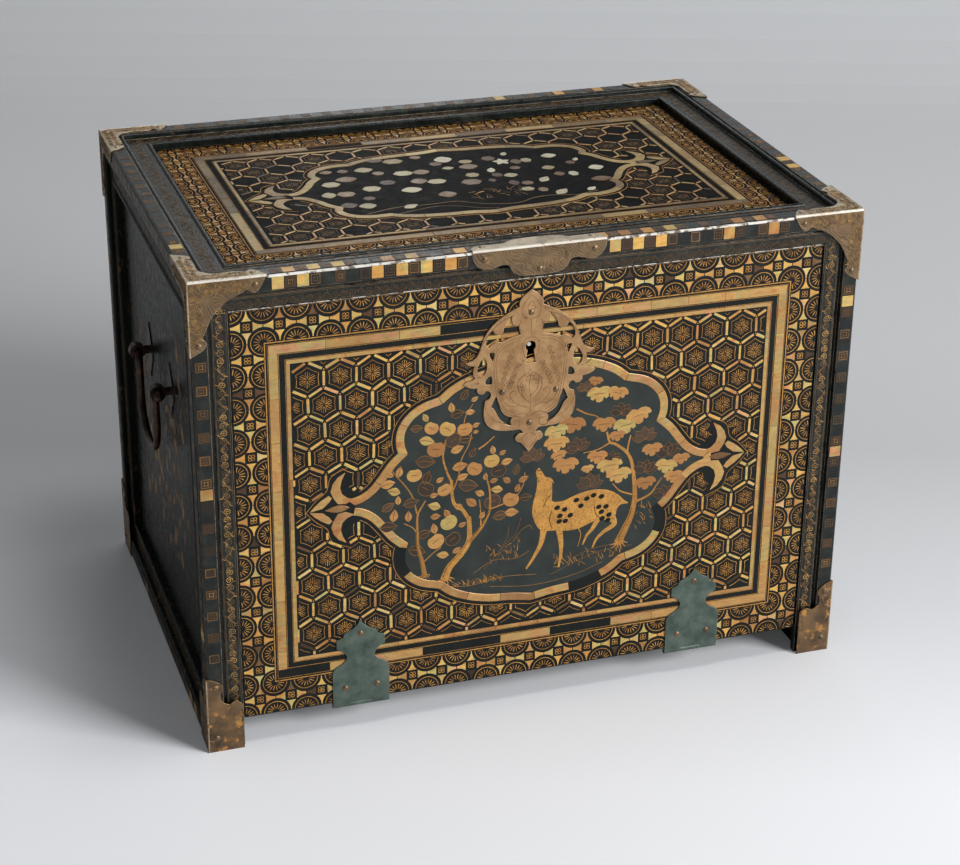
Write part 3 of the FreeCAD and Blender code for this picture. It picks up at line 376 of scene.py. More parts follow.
class Finish(Enum):
    """Every finish of the cabinet."""

    LACQUER = Surface(
        "black_lacquer", ((0.3, (12, 16, 15)), (0.55, (20, 24, 22)), (0.75, (31, 29, 24))), 55.0,
        (58, 40, 27), 0.68, 190.0, "lacquer", roughness=(0.26, 0.42), gloss=0.16)
    GROUND = Surface(
        "picture_ground", ((0.3, (27, 34, 32)), (0.55, (36, 43, 40)), (0.75, (47, 50, 44))), 70.0,
        (62, 54, 42), 0.68, 220.0, "lacquer", roughness=(0.3, 0.46), gloss=0.3, relief=0.04)
    TOP_LACQUER = Surface(
        "top_lacquer", ((0.3, (6, 8, 6)), (0.55, (12, 13, 10)), (0.75, (24, 21, 15))), 50.0,
        (52, 39, 25), 0.68, 170.0, "lacquer", roughness=(0.3, 0.45), gloss=0.012, relief=0.06)
    FRAME = Surface(
        "frame_lacquer", ((0.3, (11, 15, 14)), (0.52, (23, 28, 25)), (0.75, (46, 48, 41))), 70.0,
        (74, 62, 46), 0.66, 160.0, "lacquer", roughness=(0.18, 0.34), gloss=0.27, relief=0.16,
        edge=(156, 134, 110), rounding=0.9)
    SIDE = Surface(
        "side_lacquer", ((0.3, (8, 12, 9)), (0.5, (17, 22, 16)), (0.72, (33, 34, 25))), 60.0,
        (98, 72, 48), 0.6, 135.0, "side_lacquer", (1.0, 1.0, 0.4), (0.22, 0.4), gloss=0.08, relief=0.2,
        edge=(104, 76, 52), rounding=0.8)
    INNER = Surface(
        "inner_lacquer", ((0.3, (20, 15, 13)), (0.6, (38, 26, 21)), (0.8, (58, 38, 28))), 40.0,
        (84, 54, 36), 0.7, 120.0, "inner_lacquer", roughness=(0.3, 0.5), gloss=0.4)
    GILT = Surface(
        "gilt_copper", ((0.3, (128, 94, 58)), (0.5, (156, 120, 80)), (0.72, (178, 142, 100))), 90.0,
        (112, 76, 48), 0.63, 260.0, "gilt_copper", roughness=(0.34, 0.52), metallic=0.5,
        edge=(226, 200, 164))
    MOUNT = Surface(
        "mount_copper", ((0.3, (68, 54, 39)), (0.5, (98, 79, 57)), (0.72, (124, 100, 71))), 90.0,
        (158, 120, 76), 0.64, 210.0, "mount_copper", roughness=(0.28, 0.46), metallic=0.55, relief=0.12,
        edge=(222, 204, 176), chasing=(146, 117, 79), upward=(204, 190, 164))
    FOOT_MOUNT = Surface(
        "rubbed_gilt_copper", ((0.3, (58, 46, 34)), (0.5, (98, 76, 52)), (0.72, (132, 100, 65))), 80.0,
        (180, 128, 66), 0.57, 150.0, "mount_copper", roughness=(0.3, 0.48), metallic=0.45, relief=0.16,
        edge=(176, 146, 104))
    # Pale finishes of the rounded edges: painted highlights, partly rubbed wear.
    RUBBED = Surface(
        "rubbed_edge", ((0.3, (206, 194, 174)), (0.5, (228, 220, 206)), (0.72, (240, 234, 224))), 90.0,
        (158, 130, 98), 0.6, 170.0, "mount_copper", roughness=(0.26, 0.42), metallic=0.4, relief=0.08)
    RUBBED_LACQUER = Surface(
        "rubbed_lacquer", ((0.3, (190, 182, 170)), (0.5, (216, 212, 204)), (0.72, (232, 228, 222))), 90.0,
        (112, 100, 86), 0.5, 230.0, "lacquer", roughness=(0.26, 0.42), metallic=0.1, relief=0.1)
    WORN_EDGE_HIGHLIGHT = Surface(
        "worn_edge_highlight", ((0.3, (134, 112, 84)), (0.5, (162, 140, 110)), (0.72, (190, 172, 144))), 90.0,
        (104, 82, 58), 0.56, 170.0, "mount_copper", roughness=(0.3, 0.46), metallic=0.4, relief=0.08)
    PATINA = Surface(
        "patina_copper", ((0.3, (48, 60, 54)), (0.5, (71, 86, 78)), (0.72, (92, 104, 93))), 90.0,
        (98, 86, 66), 0.62, 240.0, "patina_copper", roughness=(0.4, 0.6), metallic=0.35, relief=0.08,
        edge=(136, 152, 140))
    IRON = Surface(
        "rubbed_iron", ((0.3, (26, 19, 16)), (0.55, (54, 36, 27)), (0.75, (104, 66, 46))), 120.0,
        (150, 100, 70), 0.66, 180.0, "iron", roughness=(0.26, 0.46), metallic=0.7, relief=0.1)
    # Iron of the lock case darkened to near black: painted shade, so that the keyhole reads dark.
    LOCK_IRON_SHADE = Surface(
        "lock_iron_shade", ((0.3, (6, 5, 5)), (0.6, (12, 10, 9)), (0.8, (20, 16, 14))), 120.0,
        (30, 22, 18), 0.68, 180.0, "iron", roughness=(0.5, 0.7), metallic=0.4, gloss=0.1)
    STEEL = Surface(
        "bright_steel", ((0.3, (176, 172, 162)), (0.6, (206, 203, 195)), (0.8, (226, 224, 218))), 300.0,
        (140, 128, 112), 0.7, 600.0, "iron", roughness=(0.2, 0.34), metallic=0.85)
    ENGRAVED = Surface(
        "engraved_line", ((0.3, (74, 50, 32)), (0.7, (112, 78, 50))), 200.0,
        (130, 94, 62), 0.6, 400.0, roughness=(0.5, 0.7), metallic=0.3, gloss=0.2)
    SHELL = Shell(
        "golden_shell",
        ((0.0, (32, 27, 21)), (0.14, (92, 62, 36)), (0.3, (158, 106, 56)), (0.48, (194, 141, 72)),
         (0.62, (216, 168, 88)), (0.76, (192, 164, 90)), (0.88, (216, 188, 128)), (1.0, (210, 146, 104))),
        ((0.34, (190, 120, 76)), (0.45, (222, 182, 98)), (0.55, (158, 172, 110)), (0.66, (212, 150, 116))))
    DULL_SHELL = Shell(
        "dull_shell",
        ((0.0, (38, 31, 22)), (0.25, (86, 68, 42)), (0.45, (136, 112, 66)), (0.65, (164, 140, 86)),
         (0.85, (188, 166, 112)), (1.0, (222, 206, 160))),
        ((0.36, (124, 92, 54)), (0.5, (170, 146, 92)), (0.62, (128, 130, 102))), 0.5, 0.2)
    LEAF_SHELL = Shell(
        "leaf_shell",
        ((0.0, (142, 95, 52)), (0.25, (166, 116, 64)), (0.5, (182, 136, 76)), (0.7, (178, 142, 76)),
         (1.0, (172, 152, 90))),
        ((0.36, (172, 112, 66)), (0.5, (198, 154, 84)), (0.62, (166, 160, 98))), 0.45)
    STRIP_SHELL = Shell(
        "strip_shell",
        ((0.0, (40, 32, 25)), (0.16, (104, 72, 45)), (0.32, (152, 108, 64)), (0.5, (176, 134, 80)),
         (0.66, (184, 143, 84)), (0.82, (166, 142, 86)), (1.0, (190, 138, 96))),
        ((0.34, (166, 104, 62)), (0.45, (192, 150, 82)), (0.55, (156, 150, 94)), (0.66, (190, 132, 96))), 0.75)
    PALE_SHELL = Shell(
        "pale_shell",
        ((0.0, (62, 43, 29)), (0.3, (102, 70, 44)), (0.5, (142, 128, 92)), (0.75, (172, 164, 132)),
         (1.0, (206, 202, 180))),
        ((0.34, (158, 142, 98)), (0.5, (184, 180, 156)), (0.66, (150, 158, 136))), 0.45, 0.15)
    GOLD = Gilding(
        "gold_line", ((0.0, (120, 82, 42)), (0.5, (184, 132, 62)), (1.0, (214, 162, 84))), (62, 42, 26))
    FAINT_GOLD = Gilding(
        "rubbed_gold", ((0.0, (64, 49, 33)), (0.5, (120, 91, 56)), (1.0, (212, 164, 92))), (34, 29, 23), 0.58,
        (74, 58, 38))
    BROWN = Gilding(
        "brown_lacquer", ((0.0, (46, 39, 33)), (0.5, (63, 50, 40)), (1.0, (84, 65, 48))), (40, 35, 30), 0.64,
        (56, 47, 39))

    @cache
    def material(self) -> bpy.types.Material:
        """Material of the finish, made once."""
        return self.value.material()


# Flat shapes and the closed pieces made from them


def placed(name: str, data: Any) -> bpy.types.Object:
    """Put a new object into the scene.

    Args:
        name: name of the object.
        data: mesh, lamp or camera.

    Returns:
        The object.
    """
    thing = bpy.data.objects.new(name, data)
    bpy.context.scene.collection.objects.link(thing)
    return thing


def pairs(x: Array, y: Array) -> Array:
    """Points from their values along two axes."""
    return np.stack([x, y], -1)


def polar(radius: Any, angle: Array) -> Array:
    """Points at a distance from the origin, in directions given by angles."""
    return pairs(radius * np.cos(angle), radius * np.sin(angle))


@dataclass(frozen=True)
class Face:
    """Flat face of the cabinet, with its own axes in millimetres. A face to the front needs only its middle."""

    origin: Vec  # middle of the face in metres
    across: Vec = (1, 0, 0)  # direction to its right, seen from outside
    up: Vec = (0, 0, 1)  # direction to its top

    def lay(self, flat: Array, height: Any) -> Array:
        """Points on the face: origin plus across, up and outward parts.

        Args:
            flat: across and up values in the last axis.
            height: distance out of the face, one value or one for each point.

        Returns:
            Points in metres.
        """
        across, up = np.array(self.across), np.array(self.up)
        raised = np.broadcast_to(height, flat.shape[:-1])[..., None] * np.cross(across, up)
        return np.array(self.origin) + MM * (flat[..., :1] * across + flat[..., 1:] * up + raised)

    def sunk(self, depth: float) -> "Face":
        """The same face, set back by a depth in millimetres."""
        out = np.cross(self.across, self.up)
        return Face(tuple(np.array(self.origin) - depth * MM * out), self.across, self.up)


def flow(points: Sequence[Sequence[float]], count: int) -> Array:
    """Smooth curve: cubic pieces whose slope at a point is half the step between its neighbours.

    Args:
        points: points that the curve goes through.
        count: number of samples.

    Returns:
        Samples in order along the curve.
    """
    through = np.asarray(points, float)
    ends = np.vstack([2 * through[0] - through[1], through, 2 * through[-1] - through[-2]])
    along = np.linspace(0, len(through) - 1, count)
    step = np.clip(along.astype(int), 0, len(through) - 2)
    part = (along - step)[:, None]
    a, b, c, d = (ends[step + k] for k in range(4))
    return 0.5 * (2 * b + (c - a) * part + (2 * a - 5 * b + 4 * c - d) * part**2 + (3 * b - a - 3 * c + d) * part**3)


def mitres(paths: Array, looped: bool) -> Array:
    """Left normals of paths: the sum of the neighbouring runs' normals over one plus their product.

    Args:
        paths: path by sample by axis.
        looped: whether each path is closed.

    Returns:
        One vector for each sample, longer where the path turns.
    """
    if looped:
        run = np.roll(paths, -1, axis=1) - paths
        before = np.roll(run, 1, axis=1)
    else:
        step = np.diff(paths, axis=1)
        run = np.concatenate([step, step[:, -1:]], axis=1)
        before = np.concatenate([step[:, :1], step], axis=1)
    normals = []
    for part in (before, run):
        length = np.linalg.norm(part, axis=-1, keepdims=True) + 1e-9
        normals.append(pairs(-part[..., 1], part[..., 0]) / length)
    turn = 1 + (normals[0] * normals[1]).sum(-1, keepdims=True)
    return (normals[0] + normals[1]) / np.maximum(turn, 0.4)


def shell_faces(rings: int, corners: int, looped: bool) -> list[Array]:
    """Faces of a grid of rings: quads between neighbours, and end caps unless the rings close on themselves.

    Args:
        rings: number of rings.
        corners: points in each ring.
        looped: whether the last ring meets the first.

    Returns:
        Corner numbers, one array for each face size.
    """
    ring = np.arange(rings if looped else rings - 1)[:, None] * corners
    after = (ring + corners) % (rings * corners)
    corner = np.arange(corners)[None]
    turn = (corner + 1) % corners
    quads = np.stack([ring + corner, ring + turn, after + turn, after + corner], -1).reshape(-1, 4)
    if looped:
        return [quads]
    return [quads, np.stack([np.arange(corners)[::-1], (rings - 1) * corners + np.arange(corners)])]


@dataclass
class Inlay:
    """Closed thin pieces on the cabinet's faces, gathered into one mesh."""

    # Depth of the feet below the face, and the steps in which crowns differ, in millimetres.
    FOOT = -0.3
    STEP = 0.009
    STEPS = 13
    # Share of a rib's width that is drawn in on each side, and points round a rod.
    DRAW = 0.14
    ROUND = 12

    name: str
    body: str
    finish: Finish
    face: Face | None = None  # carries the flat shapes
    points: list[Array] = field(default_factory=list)
    faces: list[Array] = field(default_factory=list)
    shades: list[Array] = field(default_factory=list)
    count: int = 0  # points so far
    number: int = 0  # solids so far

    def crowns(self, high: Any, number: int) -> Array:
        """Heights of the next solids, a hair apart so that crossing pieces never share a plane."""
        return np.broadcast_to(high, number) + self.STEP * ((self.number + np.arange(number)) % self.STEPS)

    def add(self, solids: Array, faces: list[Array], shade: Any) -> None:
        """Gather solids that share one list of faces.

        Args:
            solids: points, solid by corner by axis.
            faces: corner numbers, one array for each face size.
            shade: one shade, or one for each solid.
        """
        number, corners = solids.shape[:2]
        start = self.count + corners * np.arange(number)[:, None, None]
        self.faces += [(group[None] + start).reshape(-1, group.shape[1]) for group in faces]
        self.points.append(solids.reshape(-1, 3))
        self.shades.append(np.repeat(np.broadcast_to(shade, number), corners))
        self.count += number * corners
        self.number += number

    def slabs(self, outlines: Array, high: Any, shade: Any, bevel: float = 0.06) -> None:
        """Prisms of three rings: the outline at its foot, at its shoulder, and drawn in at its crown.

        Args:
            outlines: outline by point by axis, in millimetres.
            high: height of the crown, one value or one for each outline.
            shade: one shade, or one for each outline.
            bevel: share of the outline that the crown is drawn in by.
        """
        x, y = outlines[..., 0], outlines[..., 1]
        area = (x * np.roll(y, -1, 1) - y * np.roll(x, -1, 1)).sum(1)
        outlines = np.where(area[:, None, None] < 0, outlines[:, ::-1], outlines)
        crown = outlines + (outlines.mean(1, keepdims=True) - outlines) * bevel
        top = self.crowns(high, len(outlines))[:, None]
        rings = [self.face.lay(outlines, self.FOOT), self.face.lay(outlines, top * 0.6), self.face.lay(crown, top)]
        self.add(np.concatenate(rings, axis=1), shell_faces(3, outlines.shape[1], False), shade)

    def ribs(self, left: Array, right: Array, high: Any, shade: Any, looped: bool = False) -> None:
        """Profile of four points carried along a path: left foot, left crown, right crown and right foot.

        Args:
            left: left edge, path by sample by axis.
            right: right edge.
            high: height of the crown, one value or one for each path.
            shade: one shade, or one for each path.
            looped: whether each path is closed.
        """
        draw = (right - left) * self.DRAW
        top = self.crowns(high, len(left))[:, None]
        rows = ((left, self.FOOT), (left + draw, top), (right - draw, top), (right, self.FOOT))
        solids = np.stack([self.face.lay(*row) for row in rows], axis=2)
        solids = solids.reshape(len(left), 4 * left.shape[1], 3)
        self.add(solids, shell_faces(left.shape[1], 4, looped), shade)

    def strokes(self, paths: Array, width: Any, high: float, shade: Any, looped: bool = False) -> None:
        """Ribs of a given width along paths.

        Args:
            paths: path by sample by axis, in millimetres.
            width: one width, or one for each sample.
            high: height of the crown.
            shade: one shade, or one for each path.
            looped: whether each path is closed.
        """
        half = mitres(paths, looped) * (np.broadcast_to(width, paths.shape[:2])[..., None] / 2)
        self.ribs(paths + half, paths - half, high, shade, looped)

    def boxes(self, half: Pair, rows: Sequence[Pair], high: float, shade: float) -> None:
        """Rectangular lines inside an outline.

        Args:
            half: half sizes of the outline.
            rows: inset and width of each line.
            high: height of the crowns.
            shade: shade of the lines.
        """
        for inset, width in rows:
            self.strokes(rectangle(half[0] - inset, half[1] - inset)[None], width, high, shade, True)

    def plate(self, outline: Array, high: float) -> None:
        """Flat plate: walls along an outline, and fans of triangles from its middle over its top and its foot.

        Args:
            outline: outline that is seen whole from its middle, in millimetres.
            high: height of the top.
        """
        corners = len(outline)
        flat = np.vstack([outline, outline.mean(0)])
        solid = np.concatenate([self.face.lay(flat, self.FOOT), self.face.lay(flat, high)])
        ring = np.arange(corners)
        after = (ring + 1) % corners
        middle = np.full(corners, corners)
        top = corners + 1
        walls = np.stack([ring, after, after + top, ring + top], -1)
        fans = [np.stack([after, ring, middle], -1), np.stack([ring, after, middle], -1) + top]
        self.add(solid[None], [walls, *fans], 0.0)

    def rods(self, starts: Array, ends: Array, radius: float, shade: Any) -> None:
        """Round bars: at both ends of a straight line, a ring of points one radius away from it.

        Args:
            starts: first ends, in metres.
            ends: last ends.
            radius: radius in millimetres.
            shade: one shade, or one for each bar.
        """
        along = (ends - starts) / np.linalg.norm(ends - starts, axis=1, keepdims=True)
        side = np.cross(along, (0.6, 0.64, 0.48))
        side /= np.linalg.norm(side, axis=1, keepdims=True)
        up = np.cross(along, side)
        angle = np.linspace(0, 2 * pi, self.ROUND, endpoint=False)[None, :, None]
        ring = radius * MM * (np.cos(angle) * side[:, None] + np.sin(angle) * up[:, None])
        solids = np.concatenate([starts[:, None] + ring, ends[:, None] + ring], axis=1)
        self.add(solids, shell_faces(2, self.ROUND, False), shade)

    def build(self) -> None:
        """Put the gathered solids into a mesh object that rides on its body."""
        mesh = bpy.data.meshes.new(self.name)
        points = np.concatenate(self.points).astype(np.float32)
        corners = np.concatenate([group.ravel() for group in self.faces]).astype(np.int32)
        sizes = np.concatenate([np.full(len(group), group.shape[1]) for group in self.faces])
        mesh.vertices.add(len(points))
        mesh.vertices.foreach_set("co", points.ravel())
        mesh.loops.add(len(corners))
        mesh.loops.foreach_set("vertex_index", corners)
        mesh.polygons.add(len(sizes))
        mesh.polygons.foreach_set("loop_start", (np.cumsum(sizes) - sizes).astype(np.int32))
        mesh.polygons.foreach_set("use_smooth", np.zeros(len(sizes), bool))
        mesh.update(calc_edges=True)
        shade = mesh.attributes.new("shade", "FLOAT", "POINT")
        shade.data.foreach_set("value", np.concatenate(self.shades).astype(np.float32))
        piece = placed(self.name, mesh)
        mesh.materials.append(self.finish.material())
        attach(piece, self.body)
        LOG.info("%s rides on %s with %d faces", self.name, self.body, len(sizes))


def inside(points: Array, outline: Array) -> Array:
    """Whether points lie in an outline: a line to the right crosses it an odd number of times.

    Args:
        points: across and up values in the last axis.
        outline: corners of the outline.

    Returns:
        True or False for each point.
    """
    x, y = points[..., 0, None], points[..., 1, None]
    (ax, ay), (bx, by) = outline.T, np.roll(outline, -1, axis=0).T
    crosses = (ay > y) != (by > y)
    rise = np.where(by == ay, 1e-9, by - ay)
    return (crosses & (x < ax + (y - ay) * (bx - ax) / rise)).sum(-1) % 2 == 1


def trimmed(paths: Array, keep: Array, least: float) -> Array:
    """Each path cut to the stretch between its first and last kept sample.

    Args:
        paths: path by sample by axis.
        keep: True for the samples that stay.
        least: shortest stretch that stays, in millimetres.

    Returns:
        The paths that stay, with as many samples as before.
    """
    number, samples = keep.shape
    first = keep.argmax(1)
    last = samples - 1 - keep[:, ::-1].argmax(1)
    place = first[:, None] + (last - first)[:, None] * np.linspace(0, 1, samples)
    step = np.clip(place.astype(int), 0, samples - 2)
    part = (place - step)[..., None]
    row = np.arange(number)[:, None]
    cut = paths[row, step] * (1 - part) + paths[row, step + 1] * part
    length = np.linalg.norm(np.diff(cut, axis=1), axis=-1).sum(1)
    return cut[keep.any(1) & (length > least)]


def turned(shape: Array, places: Array, angles: Any, sizes: Any) -> Array:
    """Copies of a flat shape, each turned, sized and moved to its place.

    Args:
        shape: points of the shape.
        places: where its origin goes, one for each copy.
        angles: turn of each copy in radians.
        sizes: size of each copy.

    Returns:
        Copy by point by axis.
    """
    number = len(places)
    angle = np.broadcast_to(angles, number)[:, None]
    size = np.broadcast_to(sizes, number)[:, None, None]
    x, y = shape[:, 0], shape[:, 1]
    spun = pairs(x * np.cos(angle) - y * np.sin(angle), x * np.sin(angle) + y * np.cos(angle))
    return spun * size + np.asarray(places)[:, None]


def pointed_leaf(width: float = 0.46, samples: int = 7) -> Array:
    """Leaf of length 1 along the first axis: its half width follows a sine that peaks before the middle.

    Args:
        width: width as a share of the length.
        samples: points along a side.

    Returns:
        Outline.
    """
    along = np.linspace(0, 1, samples)
    half = width / 2 * np.sin(pi * along**0.85)
    back = slice(-2, 0, -1)
    return pairs(np.r_[along, along[back]], np.r_[half, -half[back]])


def lobed_disc(lobes: int, depth: float, samples: int) -> Array:
    """Round outline whose radius rises and falls as a cosine, once for each lobe.

    Args:
        lobes: number of lobes.
        depth: rise and fall as a share of the middle radius.
        samples: points round it.

    Returns:
        Outline of radius 1.
    """
    angle = np.linspace(0, 2 * pi, samples, endpoint=False)
    radius = (1 + depth * np.cos(lobes * angle)) / (1 + depth)
    return polar(radius, angle)


def maple_leaf() -> Array:
    """Wide leaf of half width 1: a domed top, and broad hanging lobes, nearly the same on both sides.

    Returns:
        Outline.
    """
    right = np.array([(0, 0.4), (0.3, 0.5), (0.62, 0.46), (0.88, 0.28), (1.0, 0.02), (0.84, -0.08), (0.7, 0.0),
                      (0.68, -0.28), (0.5, -0.38), (0.34, -0.22), (0.24, -0.5), (0, -0.58)])
    return np.concatenate([right, (right * [-0.94, 1.06])[-2:0:-1]])


def fan_leaf() -> Array:
    """Five pointed petals that spread from the foot of a leaf of half width 1, one outline for each.

    Returns:
        Petal by point by axis.
    """
    spread = np.radians([18, 52, 90, 128, 162])
    foot = np.repeat([[0.0, -0.5]], len(spread), axis=0)
    return turned(pointed_leaf(0.66), foot, spread, np.array([0.98, 1.06, 1.1, 1.06, 0.98]))


def rectangle(half_across: float, half_up: float) -> Array:
    """Corners of a rectangle about the origin, counted from its lower left."""
    return np.array(CORNERS) * [half_across, half_up]


def mirrored_four(shapes: Array) -> Array:
    """Shapes of the right upper quarter, repeated in all four quarters."""
    return np.concatenate([shapes * sign for sign in ((1, 1), (-1, 1), (-1, -1), (1, -1))])


def shell_shades(rng: Rng, number: int, lost: float = 0.06) -> Array:
    """Shades of shell pieces: mostly golden, with a share of brown ones and a few pale ones."""
    golden = 0.24 + 0.76 * rng.beta(1.5, 2.3, number)
    return np.where(rng.random(number) < lost, rng.uniform(0.02, 0.16, number), golden)


# Patterns of the inlaid panels


@dataclass(kw_only=True)
class Pattern:
    """Pattern that lies on one face."""

    name: str  # first part of its pieces' names
    body: str = "carcass"
    face: Face
    rng: Rng  # source of its shades and of the hand's small errors
    half: Pair = (0.0, 0.0)  # half sizes of its outline, across and up
    shell: Finish = Finish.SHELL
    faded: float = 0.0  # share by which it is rubbed
    hole: Pair | None = None  # middle of a keyhole, which stays clear

    def inlay(self, ending: str, finish: Finish) -> Inlay:
        """Empty piece of the pattern."""
        return Inlay(self.name + ending, self.body, finish, self.face)

    def part(self, ending: str, half: Pair) -> dict[str, Any]:
        """Fields of a smaller pattern inside this one."""
        return {"name": self.name + ending, "body": self.body, "face": self.face, "rng": self.rng, "half": half}


@dataclass(kw_only=True)
class BorderBand(Pattern):
    """Band of half suns that face each other, with squares and shell wedges between them."""

    depth: Pair  # depth of the band at the sides, and at the top and bottom
    cells: tuple[int, int]  # number of steps from corner to corner, across and up
    square_share: float = 0.693  # side of a square as a share of a half step
    sun_share: float = 0.97  # radius of a sun's outline as a share of a half step
    rays_in_half: int = 8
    ring: float = 0.79  # radius of a sun's gold ring as a share of its outline's
    rays: Pair = (0.24, 0.62)  # where a ray begins and ends, as shares of that radius

    @property
    def square(self) -> float:
        """Side of a square."""
        return self.square_share * float(self.squares()[1].min())

    @property
    def sun(self) -> float:
        """Radius of a sun's outline."""
        return self.sun_share * float(self.squares()[1].min())

    def squares(self) -> tuple[Array, Array]:
        """Middles of the squares round the band, and the half steps across and up.

        Returns:
            The points, and the two lengths.
        """
        middle = np.array(self.half) - np.array(self.depth) / 2
        across = np.linspace(-middle[0], middle[0], self.cells[0] + 1)
        up = np.linspace(-middle[1], middle[1], self.cells[1] + 1)[1:-1]
        rows = [pairs(across, np.full_like(across, side * middle[1])) for side in (-1, 1)]
        columns = [pairs(np.full_like(up, side * middle[0]), up) for side in (-1, 1)]
        return np.concatenate(rows + columns), middle / np.array(self.cells)

    def wedges(self) -> Array:
        """Shell wedges: from each side of a square to the neck between two suns.

        The half width at a distance is what two circles leave open there.

        Returns:
            Wedge by point by axis.
        """
        places, step = self.squares()
        shapes = []
        for axis in (0, 1):
            reach, other = step[axis], step[1 - axis]
            along = np.linspace(self.square / 2 + 0.35, reach - 0.3, 6)
            round_part = np.sqrt(np.maximum(self.sun**2 - (reach - along) ** 2, 0))
            half = np.clip(other - round_part - 0.1, 0.35, self.square / 2)
            outline = pairs(np.r_[along, along[::-1]], np.r_[half, -half[::-1]])
            shapes += [outline[:, ::-1] * [sign, sign] if axis else outline * [sign, sign] for sign in (-1, 1)]
        return np.concatenate([places[:, None] + shape for shape in shapes])

    def suns(self) -> list[tuple[Array, float, float]]:
        """Groups of suns: their middles, and the angles between which they show.

        Returns:
            Points, first angle and last angle of each group.
        """
        half, depth = np.array(self.half), np.array(self.depth)
        _, step = self.squares()
        inner = half - depth
        across = (half[0] - depth[0] / 2) - step[0] * (2 * np.arange(self.cells[0]) + 1)
        up = (half[1] - depth[1] / 2) - step[1] * (2 * np.arange(self.cells[1]) + 1)
        groups = []
        for side in (-1, 1):
            for places, level, start, order in (
                    (across, half[1], 0.0, 1), (across[1:-1], inner[1], pi, 1),
                    (up, half[0], -pi / 2, -1), (up[1:-1], inner[0], pi / 2, -1)):
                row = np.stack([places, np.full_like(places, side * level)][::order], -1)
                begin = start if side < 0 else start + pi
                groups.append((row, begin, begin + pi))
        for turn, corner in enumerate(CORNERS):
            quarter = turn * pi / 2
            groups.append((np.array([corner]) * half, quarter, quarter + pi / 2))
            groups.append((np.array([corner]) * inner, quarter + pi / 2, quarter + 2 * pi))
        return groups

    def sun_lines(self, gold: Inlay) -> None:
        """Ring and rays of each sun.

        Args:
            gold: piece that gathers the lines.
        """
        for middles, begin, end in self.suns():
            span = end - begin
            angle = np.linspace(begin, end, int(10 * span / pi) + 5)
            arcs = middles[:, None] + polar(self.ring * self.sun, angle)
            gold.strokes(arcs, 0.55, GOLD_HIGH, self.rng.uniform(0.3, 1, len(arcs)))
            count = int(round(self.rays_in_half * span / pi))
            spine = pairs(np.linspace(*self.rays, 4) * self.sun, np.zeros(4))
            for number in range(count):
                paths = turned(spine, middles, begin + (number + 0.5) * span / count, 1.0)
                shades = self.rng.uniform(0.2, 1, len(paths))
                gold.strokes(paths, np.array([0.3, 0.6, 0.75, 0.35]), GOLD_HIGH, shades)

    def build(self) -> None:
        """Build the band's shell and gold pieces."""
        shell = self.inlay("_wedges", self.shell)
        gold = self.inlay("_suns", Finish.GOLD)
        wedges = self.wedges()
        shell.slabs(wedges, SHELL_HIGH, shell_shades(self.rng, len(wedges), 0.1), 0.04)
        self.sun_lines(gold)
        places, _ = self.squares()
        places = places + self.rng.normal(0, 0.15, places.shape)
        for corner in rectangle(0.145 * self.square, 0.145 * self.square):
            loops = turned(lobed_disc(1, 0, 8), places + corner, 0.0, 0.14 * self.square)
            gold.strokes(loops, 0.46, GOLD_HIGH, self.rng.uniform(0.4, 1, len(loops)), True)
        shell.build()
        gold.build()


